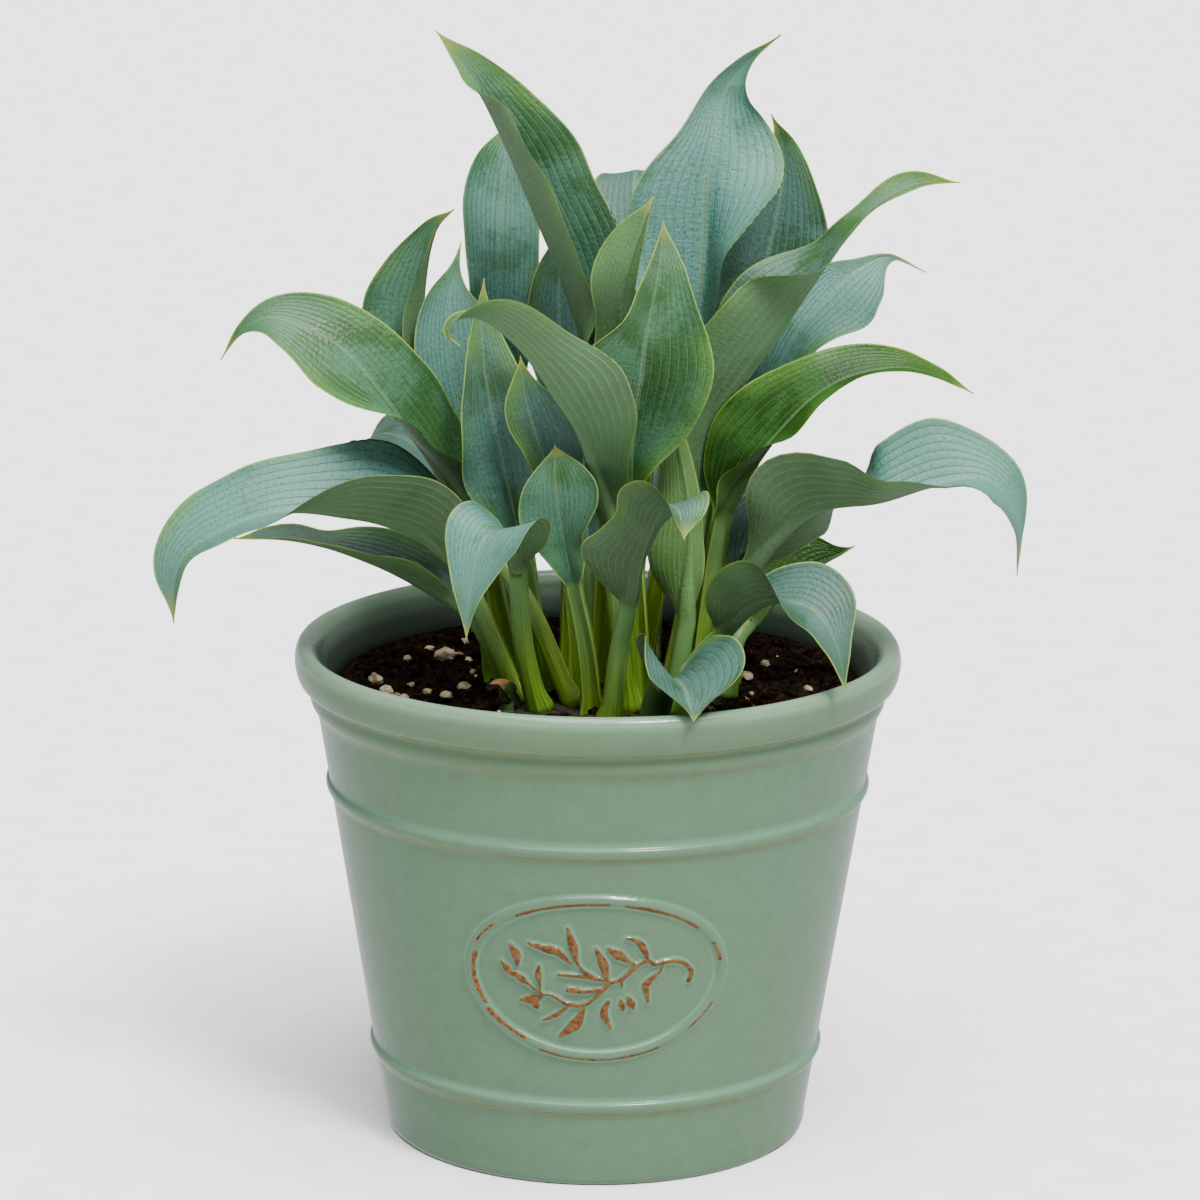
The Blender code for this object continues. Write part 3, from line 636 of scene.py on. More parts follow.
@dataclass(frozen=True)
class GrainFinish:
    """Expanded mineral grains, cream and stained by the mix."""

    cream: Colour = tone(176, 164, 134)
    stained: Colour = tone(112, 88, 60)
    pit: Colour = tone(70, 56, 40)

    def make(self) -> Material:
        """Make the grains' finish."""
        g = Graph("perlite_grain", roughness=0.85, specular=0.3)
        place = g.place()
        stain = g.noise(place, 180.0, 4.0, 0.65)
        fed = {"Vector": place, "Scale": 900.0}
        pits = g.node("ShaderNodeTexVoronoi", fed).outputs["Distance"]
        colour = g.coats(
            self.cream,
            (self.stained, g.ramp(stain, 0.42, 0.68), 1.0),
            (self.pit, g.ramp(pits, 0.0, 0.22, 1.0, 0.0), 0.45))
        return g.finish(colour, g.bump(g.plus(pits, stain), 0.0006, 0.8))


@dataclass(frozen=True)
class BractFinish:
    """A small sheath, green at its foot and dried papery brown at its tip."""

    green: Colour = tone(40, 62, 18)
    green_dark: Colour = tone(24, 42, 14)
    brown: Colour = tone(132, 100, 60)
    brown_dark: Colour = tone(62, 40, 22)

    def make(self) -> Material:
        """Make the bract's finish."""
        g = Graph("dry_sheath_finish", roughness=0.7, specular=0.3)
        fibres = g.lengthwise(3.0, 0.12, 0.0, 3.0)
        dark = g.ramp(fibres, 0.35, 0.7)
        ragged = g.plus(g.attribute("reach"), g.times(g.noise(g.place(), 220.0, 3.0), 0.5))
        brown = g.coats(self.brown, (self.brown_dark, dark, 1.0))
        colour = g.coats(self.green, (self.green_dark, dark, 1.0),
                         (brown, g.ramp(ragged, 0.55, 0.75), 1.0))
        return g.finish(colour, g.bump(fibres, 0.0004, 0.8))


@dataclass(frozen=True)
class PlainFinish:
    """Two colours in one pattern of clouds, for the rootstock and the floor.

    Attributes:
        name: The material's name.
        first: The first colour.
        second: The colour where the pattern is high.
        pattern: The pattern's scale, octaves, roughness and distortion.
        span: The pattern's values between which the colour turns.
        relief: The bump's height in metres and its strength.
        rough: The shader's roughness.
        gloss: The shader's specular level.
    """

    name: str
    first: Colour
    second: Colour
    pattern: tuple[float, float, float, float]
    span: tuple[float, float]
    relief: tuple[float, float]
    rough: float
    gloss: float

    def make(self) -> Material:
        """Make the finish."""
        g = Graph(self.name, roughness=self.rough, specular=self.gloss)
        pattern = g.noise(g.place(), *self.pattern)
        colour = g.coats(self.first, (self.second, g.ramp(pattern, *self.span), 1.0))
        return g.finish(colour, g.bump(pattern, *self.relief))


CROWN_FINISH = PlainFinish("rootstock", tone(34, 32, 12), tone(20, 13, 8), (140.0, 4.0, 0.65, 0.6),
                           (0.4, 0.62), (0.0012, 0.8), rough=0.75, gloss=0.3)
FLOOR_FINISH = PlainFinish("pale_floor", tone(226, 226, 226), tone(232, 232, 232),
                           (34.0, 5.0, 0.6, 0.0), (0.3, 0.7), (0.004, 0.35), rough=0.9, gloss=0.15)


# ---------------------------------------------------------------- leaves

class Skin(Enum):
    """A leaf's slot in the record: the group of leaves that it is repainted with."""

    BLUE = "leaf_blue"
    GREEN = "leaf_green"
    PALE = "leaf_pale"
    DRY = "dry_sheath"


class Hue(Enum):
    """How a leaf's bloom and age colour it."""

    FROSTED = "frosted"
    DUSTY = "dusty"
    SEA = "sea"
    MEADOW = "meadow"
    GRASS = "grass"
    OLIVE = "olive"
    MOSS = "moss"
    STRAW = "straw"


@dataclass(frozen=True)
class Half:
    """One half of a blade, from the midrib to a margin.

    Attributes:
        folds: How far it is folded up, evenly spaced from the neck to the tip.
        widths: Its widths, evenly spaced from the neck to the tip, or one number: the
            greatest width of a plain heart.
    """

    folds: Sequence[float]
    widths: Sequence[float]


@dataclass(frozen=True)
class LeafShape:
    """One leaf's shape, in millimetres and degrees.

    Attributes:
        name: The CAD node that it stands for.
        skin: Its slot in the record.
        hue: Its finish.
        face: The compass angle its upper side looks to (0 is -Y, 90 is +X).
        stalk: Points along the stalk, from its foot.
        blade: Points along the midrib, from the neck to the tip.
        left: The blade's left half.
        right: The blade's right half.
        roll: The blade's turn about its midrib, evenly spaced from the neck to the tip.
        belly: Where along a plain heart its greatest width is reached.
        taper: How long a plain heart's tip is drawn out.
        base: How square a plain heart's foot is; smaller is squarer.
        curl: How much more the halves turn up at their margins than at the midrib.
        veins: Side veins in each half.
        wave: How far the margins wave up and down.
        lobe: How far the blade's foot reaches back past the neck, in half widths.
        hidden: Whether other leaves hide it, so that a coarser mesh will do.
    """

    name: str
    skin: Skin
    hue: Hue
    face: float
    stalk: Sequence[tuple[float, ...]]
    blade: Sequence[Point]
    left: Half
    right: Half
    roll: Sequence[float] = (0, 0)
    belly: float = 0.38
    taper: float = 1.6
    base: float = 0.9
    curl: float = 12.0
    veins: int = 8
    wave: float = 1.2
    lobe: float = 0.18
    hidden: bool = False


@dataclass
class Leaf:
    """A leaf with its stalk as one closed skin.

    Attributes:
        shape: Its shape.
        seed: What its waves start from.
        stalk_foot: The stalk's half width at its foot.
        stalk_neck: The stalk's half width under the blade.
        stalk_fold: How far the stalk's two flanks turn up.
        stalk_curl: How much more they turn up at their edges.
        stalk_depth: How thick the stalk is below its channel.
        foot_height: Where the stalk starts, just inside the crown's top.
        thickness: The blade's thickness.
        groove: How deep the veins lie.
    """

    shape: LeafShape
    seed: int
    stalk_foot: float = 6.2
    stalk_neck: float = 4.0
    stalk_fold: float = 48.0
    stalk_curl: float = 30.0
    stalk_depth: float = 4.2
    foot_height: float = 227.0
    thickness: float = 0.5
    groove: float = 0.17

    def rows(self) -> tuple[np.ndarray, np.ndarray]:
        """Space the rows.

        Returns:
            Each row's place along the blade and up the stalk, from 0 to 1.
        """
        stalk_rows, blade_rows = (14, 46) if self.shape.hidden else (20, 72)
        t = np.linspace(0.0, 1.0, blade_rows + 1)
        along = t - 0.55 * np.sin(math.tau * t) / math.tau
        u = np.concatenate([np.zeros(stalk_rows), along])
        up_stalk = np.concatenate([np.arange(stalk_rows) / stalk_rows, np.ones(blade_rows + 1)])
        return u, up_stalk

    def midrib(self, u: np.ndarray, up_stalk: np.ndarray) -> tuple[np.ndarray, np.ndarray]:
        """Place the rows along the stalk and the midrib.

        Args:
            u: The rows' places along the blade.
            up_stalk: The rows' places up the stalk.

        Returns:
            The rows' centres, and how far each lies past the neck.
        """
        shape = self.shape
        foot = (*shape.stalk[0], self.foot_height)
        stalk = smooth_path([foot, *shape.stalk[1:], shape.blade[0]], 200)
        whole = np.concatenate([stalk[:-1], smooth_path(shape.blade, 400)])
        for _ in range(30):  # rounds the bend from the stalk into the blade
            whole[1:-1] = whole[1:-1] * 0.5 + (whole[:-2] + whole[2:]) * 0.25
        lengths = lengths_along(whole)
        neck, end = lengths[len(stalk) - 1], lengths[-1]
        place = np.where(u > 0, neck + u * (end - neck), up_stalk * neck)
        return read_along(whole, lengths, place), place - neck

    def frames(self, centres: np.ndarray, u: np.ndarray) -> tuple[np.ndarray, ...]:
        """Turn the rows to face the leaf's way.

        Args:
            centres: The rows' centres.
            u: The rows' places along the blade.

        Returns:
            The rows' tangents, sides and upward directions.
        """
        tangent = np.gradient(centres, axis=0)
        tangent /= np.linalg.norm(tangent, axis=1)[:, None]
        turn = math.radians(self.shape.face)
        across = np.array([math.cos(turn), math.sin(turn), 0.0])
        side = across - tangent * (tangent @ across)[:, None]
        side /= np.linalg.norm(side, axis=1)[:, None]
        rise = np.cross(side, tangent)
        roll = np.radians(blend(self.shape.roll, u))[:, None]
        return (tangent, side * np.cos(roll) + rise * np.sin(roll),
                rise * np.cos(roll) - side * np.sin(roll))

    def half_width(self, half: Half, u: np.ndarray, up_stalk: np.ndarray) -> np.ndarray:
        """Work out one half's width at each row.

        Args:
            half: The half.
            u: The rows' places along the blade.
            up_stalk: The rows' places up the stalk.

        Returns:
            The widths.
        """
        flare = 1.0 + 0.5 * ease(1 - up_stalk * 6)
        stalk = (self.stalk_foot + (self.stalk_neck - self.stalk_foot) * up_stalk) * flare
        runs_out = ease(u * 1.6)
        stem = stalk * (1 - runs_out) + 0.9 * runs_out * (1 - 0.7 * ease(u * 8 - 7))
        if len(half.widths) > 1:
            return np.maximum(stem, even_curve(half.widths, u))
        belly, taper, base = self.shape.belly, self.shape.taper, self.shape.base
        first = np.sin(math.pi / 2 * np.clip(u / belly, 0, 1)) ** base
        after = np.clip((u - belly) / (1 - belly), 0, 1)
        return stem + half.widths[0] * np.where(u < belly, first, (1 - after ** 2) ** taper)

    def half(self, sign: int, half: Half, u: np.ndarray, up_stalk: np.ndarray,
             run: np.ndarray) -> Values:
        """Work out one half of every row, from the midrib to the margin.

        Args:
            sign: -1 for the left half and 1 for the right.
            half: The half's folds and widths.
            u: The rows' places along the blade.
            up_stalk: The rows' places up the stalk.
            run: The rows' distances past the neck.

        Returns:
            Its width at each row, and for each point its offset to the side and upward,
            the surface's angle there and its place across.
        """
        shape = self.shape
        fine = 6
        steps = self.steps * fine
        width = self.half_width(half, u, up_stalk)
        open_up = ease(u / 0.22)
        fold = self.stalk_fold + (blend(half.folds, u) - self.stalk_fold) * open_up
        curl = self.stalk_curl + (shape.curl - self.stalk_curl) * open_up
        q = np.linspace(0, 1, steps + 1)
        angle = np.radians(fold[:, None] + curl[:, None] * (q - 0.5)) * ease(q / 0.10)
        phase = self.seed * 1.7 + (0.0 if sign > 0 else 2.1)
        wave = np.sin(run / 8.6 + phase) + 0.6 * np.sin(run / 5.1 + 2.3 * phase)
        wave *= shape.wave * 2.2 * ease(u / 0.2) * ease((1 - u) / 0.12) / np.maximum(width, 8.0)
        angle += wave[:, None] * q ** 2
        middle = (angle[:, 1:] + angle[:, :-1]) / 2
        found: Values = {"width": width, "q": q[::fine], "angle": sign * angle[:, ::fine]}
        for key, part in (("out", sign * np.cos(middle)), ("rise", np.sin(middle))):
            reach = np.concatenate([np.zeros((len(u), 1)), np.cumsum(part, axis=1)], axis=1)
            found[key] = (reach * width[:, None] / steps)[:, ::fine]
        return found

    @property
    def steps(self) -> int:
        """How many points lie across each half."""
        return self.shape.veins * (3 if self.shape.hidden else 4)

    def sink(self, width: np.ndarray, q: float, under: bool, u: np.ndarray) -> np.ndarray:
        """Work out how far one line along the leaf lies under its middle surface.

        Args:
            width: The half's width at each row.
            q: The line's place across the half.
            under: Whether it runs along the underside.
            u: The rows' places along the blade.

        Returns:
            The depths.
        """
        # veins lie in grooves above and stand out below, and fade where they meet
        veins = self.shape.veins
        lane = q * veins
        on_blade = ease(u / 0.06)
        depth = self.groove * np.clip(width / veins / 2.6, 0, 1) * on_blade * ease((1 - q) * 9)
        sink = depth * (0.5 + 0.5 * math.cos(math.tau * lane)) ** 1.4
        sink += 0.5 * on_blade * (1 - ease(u * 1.1)) * math.exp(-(lane / 0.5) ** 2)
        if under:
            rib = np.maximum(1.5 + (self.stalk_neck - 1.2) * (1 - ease(u / 0.45)),
                             np.where(u > 0, 0.0, width))
            bulge = (0.7 + (self.stalk_depth - 0.7) * (1 - ease(u / 0.4))) * ease((1 - u) * 6)
            over = np.clip(1 - (q * width / rib) ** 2, 0, 1)
            sink += self.thickness * (1 - q ** 4) + bulge * over
        return sink

    def skin(self) -> tuple[np.ndarray, Values]:
        """Work out the closed skin, ring by ring.

        Returns:
            The points as rings by columns, and the values that the finish reads at each.
        """
        shape, steps = self.shape, self.steps
        u, up_stalk = self.rows()
        centres, run = self.midrib(u, up_stalk)
        tangent, side, lift = self.frames(centres, u)
        halves = {-1: self.half(-1, shape.left, u, up_stalk, run),
                  1: self.half(1, shape.right, u, up_stalk, run)}
        top = [(-1, k, False) for k in range(steps, 0, -1)] + [(1, k, False) for k in range(steps)]
        bottom = [(1, k, True) for k in range(steps - 1, 0, -1)]
        bottom += [(-1, k, True) for k in range(steps)]
        columns = []
        table: dict[str, list[np.ndarray]] = {}
        for sign, k, under in [*top, (1, steps, False), *bottom]:
            part = halves[sign]
            width, q, angle = part["width"], part["q"][k], part["angle"][:, k]
            sink = self.sink(width, q, under, u)
            back = shape.lobe * width * q ** 1.3 * np.clip(1 - u / 0.3, 0, 1) ** 2 * ease(u / 0.05)
            out = part["out"][:, k] + sink * np.sin(angle)
            rise = part["rise"][:, k] - sink * np.cos(angle)
            columns.append(centres + side * out[:, None] + lift * rise[:, None]
                           - tangent * back[:, None])
            noted = {"lane": sign * q * shape.veins, "run": run - back, "rim": (1 - q) * width,
                     "blade": ease(u / 0.06), "under": float(under), "reach": u}
            for key, value in noted.items():
                table.setdefault(key, []).append(np.broadcast_to(value, u.shape))
        points = np.stack(columns, axis=1)
        first = centres[:1, None] - tangent[0] * 0.6 + 0 * points[:1]
        last = centres[-1:, None] + tangent[-1] * 0.5 + 0 * points[:1]
        values = {key: np.pad(np.stack(parts, axis=1), ((1, 1), (0, 0)), "edge")
                  for key, parts in table.items()}
        return np.concatenate([first, points, last]), values

    def build(self) -> BMesh:
        """Wrap a grid round the skin and weld its seam and ends.

        Returns:
            The closed mesh, in metres.
        """
        points, table = self.skin()
        rings, columns = points.shape[:2]

        def wrap(spots: np.ndarray) -> tuple[np.ndarray, Values]:
            """Send each point of the grid to its ring and column."""
            column = np.rint((spots[:, 0] + 1) / 2 * columns).astype(int) % columns
            ring = np.rint((spots[:, 1] + 1) / 2 * (rings - 1)).astype(int)
            return points[ring, column], {key: part[ring, column] for key, part in table.items()}

        bm = bmesh.new()
        bmesh.ops.create_grid(bm, x_segments=columns, y_segments=rings - 1, size=1.0)
        reshape(bm, wrap)
        bmesh.ops.remove_doubles(bm, verts=bm.verts, dist=SEAM)
        bmesh.ops.recalc_face_normals(bm, faces=bm.faces)
        return bm

    def dress(self, finishes: dict[Hue, Material]) -> None:
        """Build the leaf and place it in its finish."""
        shape = self.shape
        piece = Piece(shape.name.replace("leaf_", "blade_") + "_skin", shape.skin.value, (shape.name,))
        piece.place(self.build(), finishes[shape.hue])


LEAVES: tuple[LeafShape, ...] = (
    LeafShape(
        "leaf_tall_left", Skin.BLUE, Hue.SEA, 0, [(0, -16), (4, -14, 310)],
        [(4, -12, 375), (-14, -15, 425), (-30, -18, 463), (-46, -18, 500), (-61, -13, 528),
         (-80, -6, 551)],
        Half((85, 100, 118, 122, 123, 124, 122, 40, 10), (4, 18, 27, 29, 27, 23, 15, 6, 0)),
        Half((25, 12, 8, 10), (4, 22, 30, 35, 33, 32, 22, 11, 0))),
    LeafShape(
        "leaf_broad_right", Skin.BLUE, Hue.FROSTED, 0, [(20, -10), (34, 0, 310)],
        [(45, 12, 378), (50, 20, 436), (51, 24, 469), (54, 28, 490), (59, 36, 514), (72, 37, 531),
         (87, 34, 544)],
        Half((45, 15, 8, 20), (4, 23, 36, 40, 36, 20, 10, 5, 0)),
        Half((75, 80, 0, 80), (4, 24.5, 39.5, 45, 41, 36, 21, 5, 0))),
    LeafShape(
        "leaf_dark_right", Skin.BLUE, Hue.DUSTY, -10, [(42, 8), (56, 28, 320)],
        [(66, 45, 375), (80, 52, 420), (89, 57, 460), (90, 60, 485), (84, 60, 501)],
        Half((45, 20, 10, 20), (26,)), Half((45, 20, 10, 20), (33,)), taper=1.6),
    LeafShape(
        "leaf_far_back", Skin.BLUE, Hue.DUSTY, 0, [(14, 14), (22, 30, 320)],
        [(25, 45, 370), (22, 58, 420), (18, 68, 450), (17, 82, 467), (19, 106, 463), (22, 128, 438)],
        Half((45, 10, -12, 0), (27,)), Half((45, 12, -6, 0), (26,)), hidden=True),
    LeafShape(
        "leaf_swept_right", Skin.PALE, Hue.OLIVE, -90, [(34, -30), (44, -18, 280)],
        [(49, -15, 318), (57, -20, 363), (68, -24, 382), (85, -28, 407), (103, -30, 435),
         (115, -30, 453), (130, -26, 469), (151, -20, 480), (173, -14, 480)],
        Half((60, 68, 70, 70, 14, 8, 20), (4, 19, 29, 32, 33, 23, 9, 8, 0)),
        Half((60, 76, 80, 76, 10, 8, 20), (4, 21, 31, 34, 31, 18, 3, 3, 0)),
        roll=(0, 0, 0, 0, -8, -50, -80)),
    LeafShape(
        "leaf_pale_right", Skin.BLUE, Hue.FROSTED, -90, [(46, -8), (60, 4, 300)],
        [(68, 14, 345), (83, 20, 373), (97, 25, 398), (110, 30, 414), (124, 34, 427), (142, 38, 434),
         (161, 40, 426)],
        Half((50, 20, 10, 10), (4, 9, 13, 16, 17, 15, 5, 1.5, 0)),
        Half((50, 20, 10, 10), (4, 12, 16, 17, 23, 29, 22, 2, 0)), roll=(0, -55, -60, -60)),
    LeafShape(
        "leaf_mid_right", Skin.GREEN, Hue.GRASS, -90, [(48, -28), (54, -24, 285)],
        [(58, -26, 315), (72, -34, 342), (87, -36, 362), (104, -34, 379), (122, -30, 388),
         (145, -24, 391), (165, -18, 386), (182, -12, 376)],
        Half((55, 30, 15, 10), (4, 21, 29, 27, 20, 17, 10.5, 5, 0)),
        Half((50, 80, 60, 29, 25, 30, 25, 20, 15), (4, 14, 16, 14, 12, 4.5, 4, 5, 0)),
        roll=(-10, -20, -40, -44, -42, -40, -38, -36, -35)),
    LeafShape(
        "leaf_low_right", Skin.BLUE, Hue.FROSTED, -90, [(52, -46), (60, -42, 262)],
        [(67, -39, 284), (86, -46, 310), (106, -52, 327), (134, -56, 332), (162, -54, 340),
         (188, -50, 341), (202, -48, 322), (203, -46, 293)],
        Half((0, -3, -4, 50, 66, 54, 24, -8, -10), (4, 14, 17, 23, 29, 33, 19, 11.5, 0)),
        Half((20, 16, 18, 16, 30, 18, 10, 8, 8), (4, 11, 36, 35, 22, 21, 18, 8, 0)),
        roll=(60, 62, 58, 36, 4, -14, -26, -28, -30), lobe=0.0),
    LeafShape(
        "leaf_low_left", Skin.BLUE, Hue.FROSTED, 90, [(-38, -46), (-54, -43, 268)],
        [(-68, -41, 297), (-84, -51, 313), (-104, -61, 322), (-121, -68, 326), (-150, -72, 329),
         (-180, -72, 319), (-201, -68, 302), (-205, -62, 271)],
        Half((72, 60, 8, 15), (4, 30, 37, 32, 22, 8, 8, 5, 0)),
        Half((62, 56, 8, 15), (4, 27, 40, 37, 30, 28, 25, 12.5, 0)), roll=(0, 4, 40, 50)),
    LeafShape(
        "leaf_under_left", Skin.BLUE, Hue.DUSTY, 90, [(-42, -36), (-57, -31, 262)],
        [(-70, -25, 275), (-87, -20, 282), (-107, -16, 289), (-132, -12, 297), (-156, -10, 301),
         (-179, -8, 300)],
        Half((60, 45, 30, 20), (4, 10, 12, 10, 8, 7, 5, 3, 0)),
        Half((60, 50, 30, 20), (4, 16, 21, 21, 17, 10.5, 9.5, 6, 0)), roll=(0, 0, 10, 20)),
    LeafShape(
        "leaf_mid_left", Skin.GREEN, Hue.MEADOW, 90, [(-12, -52), (-34, -44, 278)],
        [(-60, -28, 311), (-77, -26, 339), (-92, -30, 360), (-104, -34, 378), (-122, -36, 400),
         (-142, -36, 412), (-159, -34, 416), (-173, -32, 409), (-183, -30, 394)],
        Half((72, 52, 12, 10), (4, 20, 28, 32, 38, 31, 19, 6, 0)),
        Half((40, 20, 12, 10), (4, 20, 27, 29, 26, 22, 16, 5, 0)), roll=(0, 34, 50, 40)),
    LeafShape(
        "leaf_slim_left", Skin.GREEN, Hue.SEA, 0, [(-50, 0), (-64, 14, 300)],
        [(-71, 20, 340), (-84, 18, 372), (-88, 16, 400), (-86, 16, 430), (-81, 16, 450), (-72, 16, 460)],
        Half((25, 12, 8, 10), (4, 16, 24, 28, 29, 28, 20, 9, 0)),
        Half((90, 120, 118, 80), (4, 16, 22, 22, 20, 17, 11, 4, 0))),
    LeafShape(
        "leaf_curled_left", Skin.GREEN, Hue.FROSTED, 0, [(-40, -18), (-54, -6, 290)],
        [(-61, -2, 330), (-70, -2, 369), (-74, -2, 394), (-74, 0, 418), (-70, 3, 433), (-68, 6, 446)],
        Half((45, 18, 10, 20), (4, 12, 16, 17, 17, 16, 12, 4.5, 0)),
        Half((45, 20, 15, 20), (4, 16, 23, 25, 24, 21, 17, 3, 0))),
    LeafShape(
        "leaf_blue_back", Skin.BLUE, Hue.FROSTED, 0, [(-28, 4), (-38, 20, 300)],
        [(-44, 30, 345), (-49, 27, 395), (-50, 26, 440), (-48, 32, 472), (-43, 38, 502)],
        Half((45, 18, 10, 20), (4, 10, 15, 15.5, 15.5, 17, 19, 15, 0)), Half((45, 20, 12, 20), (20,)),
        belly=0.62, taper=1.2),
    LeafShape(
        "leaf_inner_left", Skin.BLUE, Hue.DUSTY, 10, [(-24, -38), (-32, -33, 270)],
        [(-38, -31, 305), (-47, -36, 347), (-54, -39, 382), (-57, -35, 410), (-56, -28, 434)],
        Half((50, 22, 15, 20), (4, 16, 22.5, 21.5, 17.5, 12, 8, 4, 0)), Half((50, 22, 15, 20), (23,))),
    LeafShape(
        "leaf_hooked_front", Skin.PALE, Hue.OLIVE, 150, [(15, -62), (8, -61, 290)],
        [(4, -63, 325), (-7, -85, 366), (-21, -95, 391), (-36, -102, 414), (-54, -107, 430),
         (-67, -111, 431), (-72, -113, 424), (-65, -114, 418)],
        Half((30, 12, 25, 40), (4, 14, 21, 35, 38, 24, 20, 9, 0)),
        Half((60, 66, 56, 40), (4, 15, 18, 16, 12, 6, 4, 3, 0))),
    LeafShape(
        "leaf_heart_front", Skin.GREEN, Hue.MEADOW, 0, [(22, -50), (18, -46, 290)],
        [(16, -43, 332), (17, -51, 367), (20, -57, 393), (22, -58, 413), (27, -54, 440), (30, -43, 466)],
        Half((45, 12, 8, 15), (4, 20, 28, 33, 32, 13, 8, 3.5, 0)),
        Half((50, 18, 10, 15), (4, 13, 26, 32, 35, 30, 20, 10, 0))),
    LeafShape(
        "leaf_pale_curl", Skin.PALE, Hue.OLIVE, 180, [(12, -34), (11, -27, 310)],
        [(11, -27, 365), (10, -39, 405), (10, -44, 431), (16, -43, 453), (25, -38, 476)],
        Half((40, 45, 40, 20), (4, 9, 12, 12, 11, 9, 6, 3, 0)),
        Half((20, 14, 15, 15), (4, 11, 15, 13, 12.5, 16, 15.5, 9, 0))),
    LeafShape(
        "leaf_folded_blue", Skin.BLUE, Hue.DUSTY, -20, [(-6, -36), (-12, -36, 280)],
        [(-18, -42, 315), (-28, -52, 354), (-35, -55, 379), (-38, -53, 401)],
        Half((40, 18, 12, 15), (4, 5, 6, 7, 9, 12, 11, 5.5, 0)),
        Half((50, 30, 20, 15), (4, 16, 24, 27, 30, 30, 23, 8, 0))),
    LeafShape(
        "leaf_drooping_front", Skin.BLUE, Hue.FROSTED, 143, [(-29, -62), (-36, -67, 262)],
        [(-38, -81, 304), (-43, -99, 324), (-49, -111, 330), (-56, -118, 321), (-60, -123, 303),
         (-62, -126, 280)],
        Half((40, 20, 8, 10), (4, 14, 20, 26, 28, 18, 9.5, 4.5, 0)),
        Half((40, 30, 8, 10), (4, 20, 27, 23, 22, 16, 10.5, 5, 0))),
    LeafShape(
        "leaf_cupped_front", Skin.BLUE, Hue.SEA, 0, [(-2, -66), (-6, -67, 262)],
        [(-12, -70, 293), (-16, -76, 314), (-19, -82, 335), (-21, -82, 350), (-21, -77, 363)],
        Half((66, 35, 20, 15), (4, 8, 12, 17, 21, 20, 16, 7, 0)),
        Half((50, 18, 12, 20), (4, 8, 9, 10, 15, 20, 20, 13, 0)), wave=2.0),
    LeafShape(
        "leaf_nodding_front", Skin.PALE, Hue.DUSTY, -150, [(7, -78), (10, -78, 262)],
        [(14, -82, 286), (19, -92, 309), (25, -103, 329), (31, -116, 343), (37, -127, 343),
         (40, -134, 331)],
        Half((50, 45, 10, 0), (4, 14, 20, 21, 20, 20, 22, 14, 0)),
        Half((40, 42, 55, 25), (4, 19, 29, 23, 19, 22, 16, 8, 0))),
    LeafShape(
        "leaf_small_low", Skin.BLUE, Hue.DUSTY, -168, [(28, -78), (30, -84, 238)],
        [(33, -94, 250), (36, -110, 258), (41, -130, 257.5), (45, -152, 248)],
        Half((48, 36, 26, 20), (10, 30, 33, 34, 34, 31, 24, 10, 0)),
        Half((70, 56, 36, 30), (10, 26, 26, 27, 25, 23, 22, 5, 0))),
    LeafShape(
        "leaf_arched_right", Skin.BLUE, Hue.DUSTY, -120, [(38, -64), (48, -66, 255)],
        [(59, -70, 270), (72, -80, 284), (88, -90, 291), (104, -99, 287), (114, -105, 271),
         (118, -109, 250)],
        Half((50, 36, 12, 15), (4, 12, 16, 20, 24, 20, 9, 3, 0)),
        Half((66, 66, 15, 10), (4, 19, 28, 30, 26, 13, 8, 4, 0)), roll=(0, -8, -40, -50)),
    LeafShape(
        "leaf_tucked_right", Skin.BLUE, Hue.DUSTY, -80, [(66, -10), (68, -2, 262)],
        [(70, 4, 279), (79, 13, 297), (90, 21, 305), (102, 29, 306), (113, 33, 298)],
        Half((50, 30, 20, 15), (20,)), Half((50, 30, 20, 15), (22,)), roll=(0, -30, -40, -40)),
    LeafShape(
        "leaf_short_right", Skin.GREEN, Hue.GRASS, -80, [(64, -32), (67, -26, 253)],
        [(74, -18, 262), (90, -10, 275), (106, -4, 286), (126, 1, 296)],
        Half((50, 66, 72, 60), (4, 13, 16, 17, 18, 21, 17, 5, 0)), Half((50, 35, 25, 20), (20,)),
        roll=(0, 5, 0, 0)),
    LeafShape(
        "leaf_sheathing", Skin.PALE, Hue.MOSS, 180, [(36, -50), (40, -48, 250)],
        [(43, -46, 268), (44, -44, 318), (38, -38, 356), (30, -33, 380)],
        Half((45, 25, 20, 20), (4, 7, 8, 8, 7, 6, 5, 3, 0)),
        Half((45, 22, 20, 20), (4, 17, 22, 21, 18, 14, 9, 5, 0))),
    LeafShape(
        "leaf_back_left", Skin.BLUE, Hue.DUSTY, 41, [(-40, 20), (-50, 26, 265)],
        [(-59, 32, 291), (-75, 52, 315), (-94, 76, 330), (-112, 98, 330), (-126, 116, 312),
         (-134, 128, 286)],
        Half((50, 22, 15, 15), (26,)), Half((50, 22, 15, 15), (26,)), roll=(0, 20, 20, 10), hidden=True),
    LeafShape(
        "leaf_narrow_back", Skin.BLUE, Hue.DUSTY, 10, [(-14, 0), (-14, 10, 310)],
        [(-15, 14, 350), (-19, 18, 395), (-20, 18, 428), (-14, 20, 458)],
        Half((45, 22, 15, 20), (18,)), Half((45, 22, 15, 20), (20,)), belly=0.5, hidden=True),
    LeafShape(
        "leaf_back_centre", Skin.BLUE, Hue.DUSTY, 0, [(-4, 34), (-4, 44, 252)],
        [(-5, 54, 278), (-8, 76, 330), (-11, 102, 352), (-14, 127, 344), (-16, 146, 310)],
        Half((50, 22, 15, 15), (26,)), Half((50, 22, 15, 15), (26,)), hidden=True),
    LeafShape(
        "leaf_back_right", Skin.BLUE, Hue.DUSTY, -21, [(26, 32), (28, 42, 256)],
        [(32, 53, 284), (46, 76, 328), (58, 100, 344), (67, 122, 335), (74, 140, 306)],
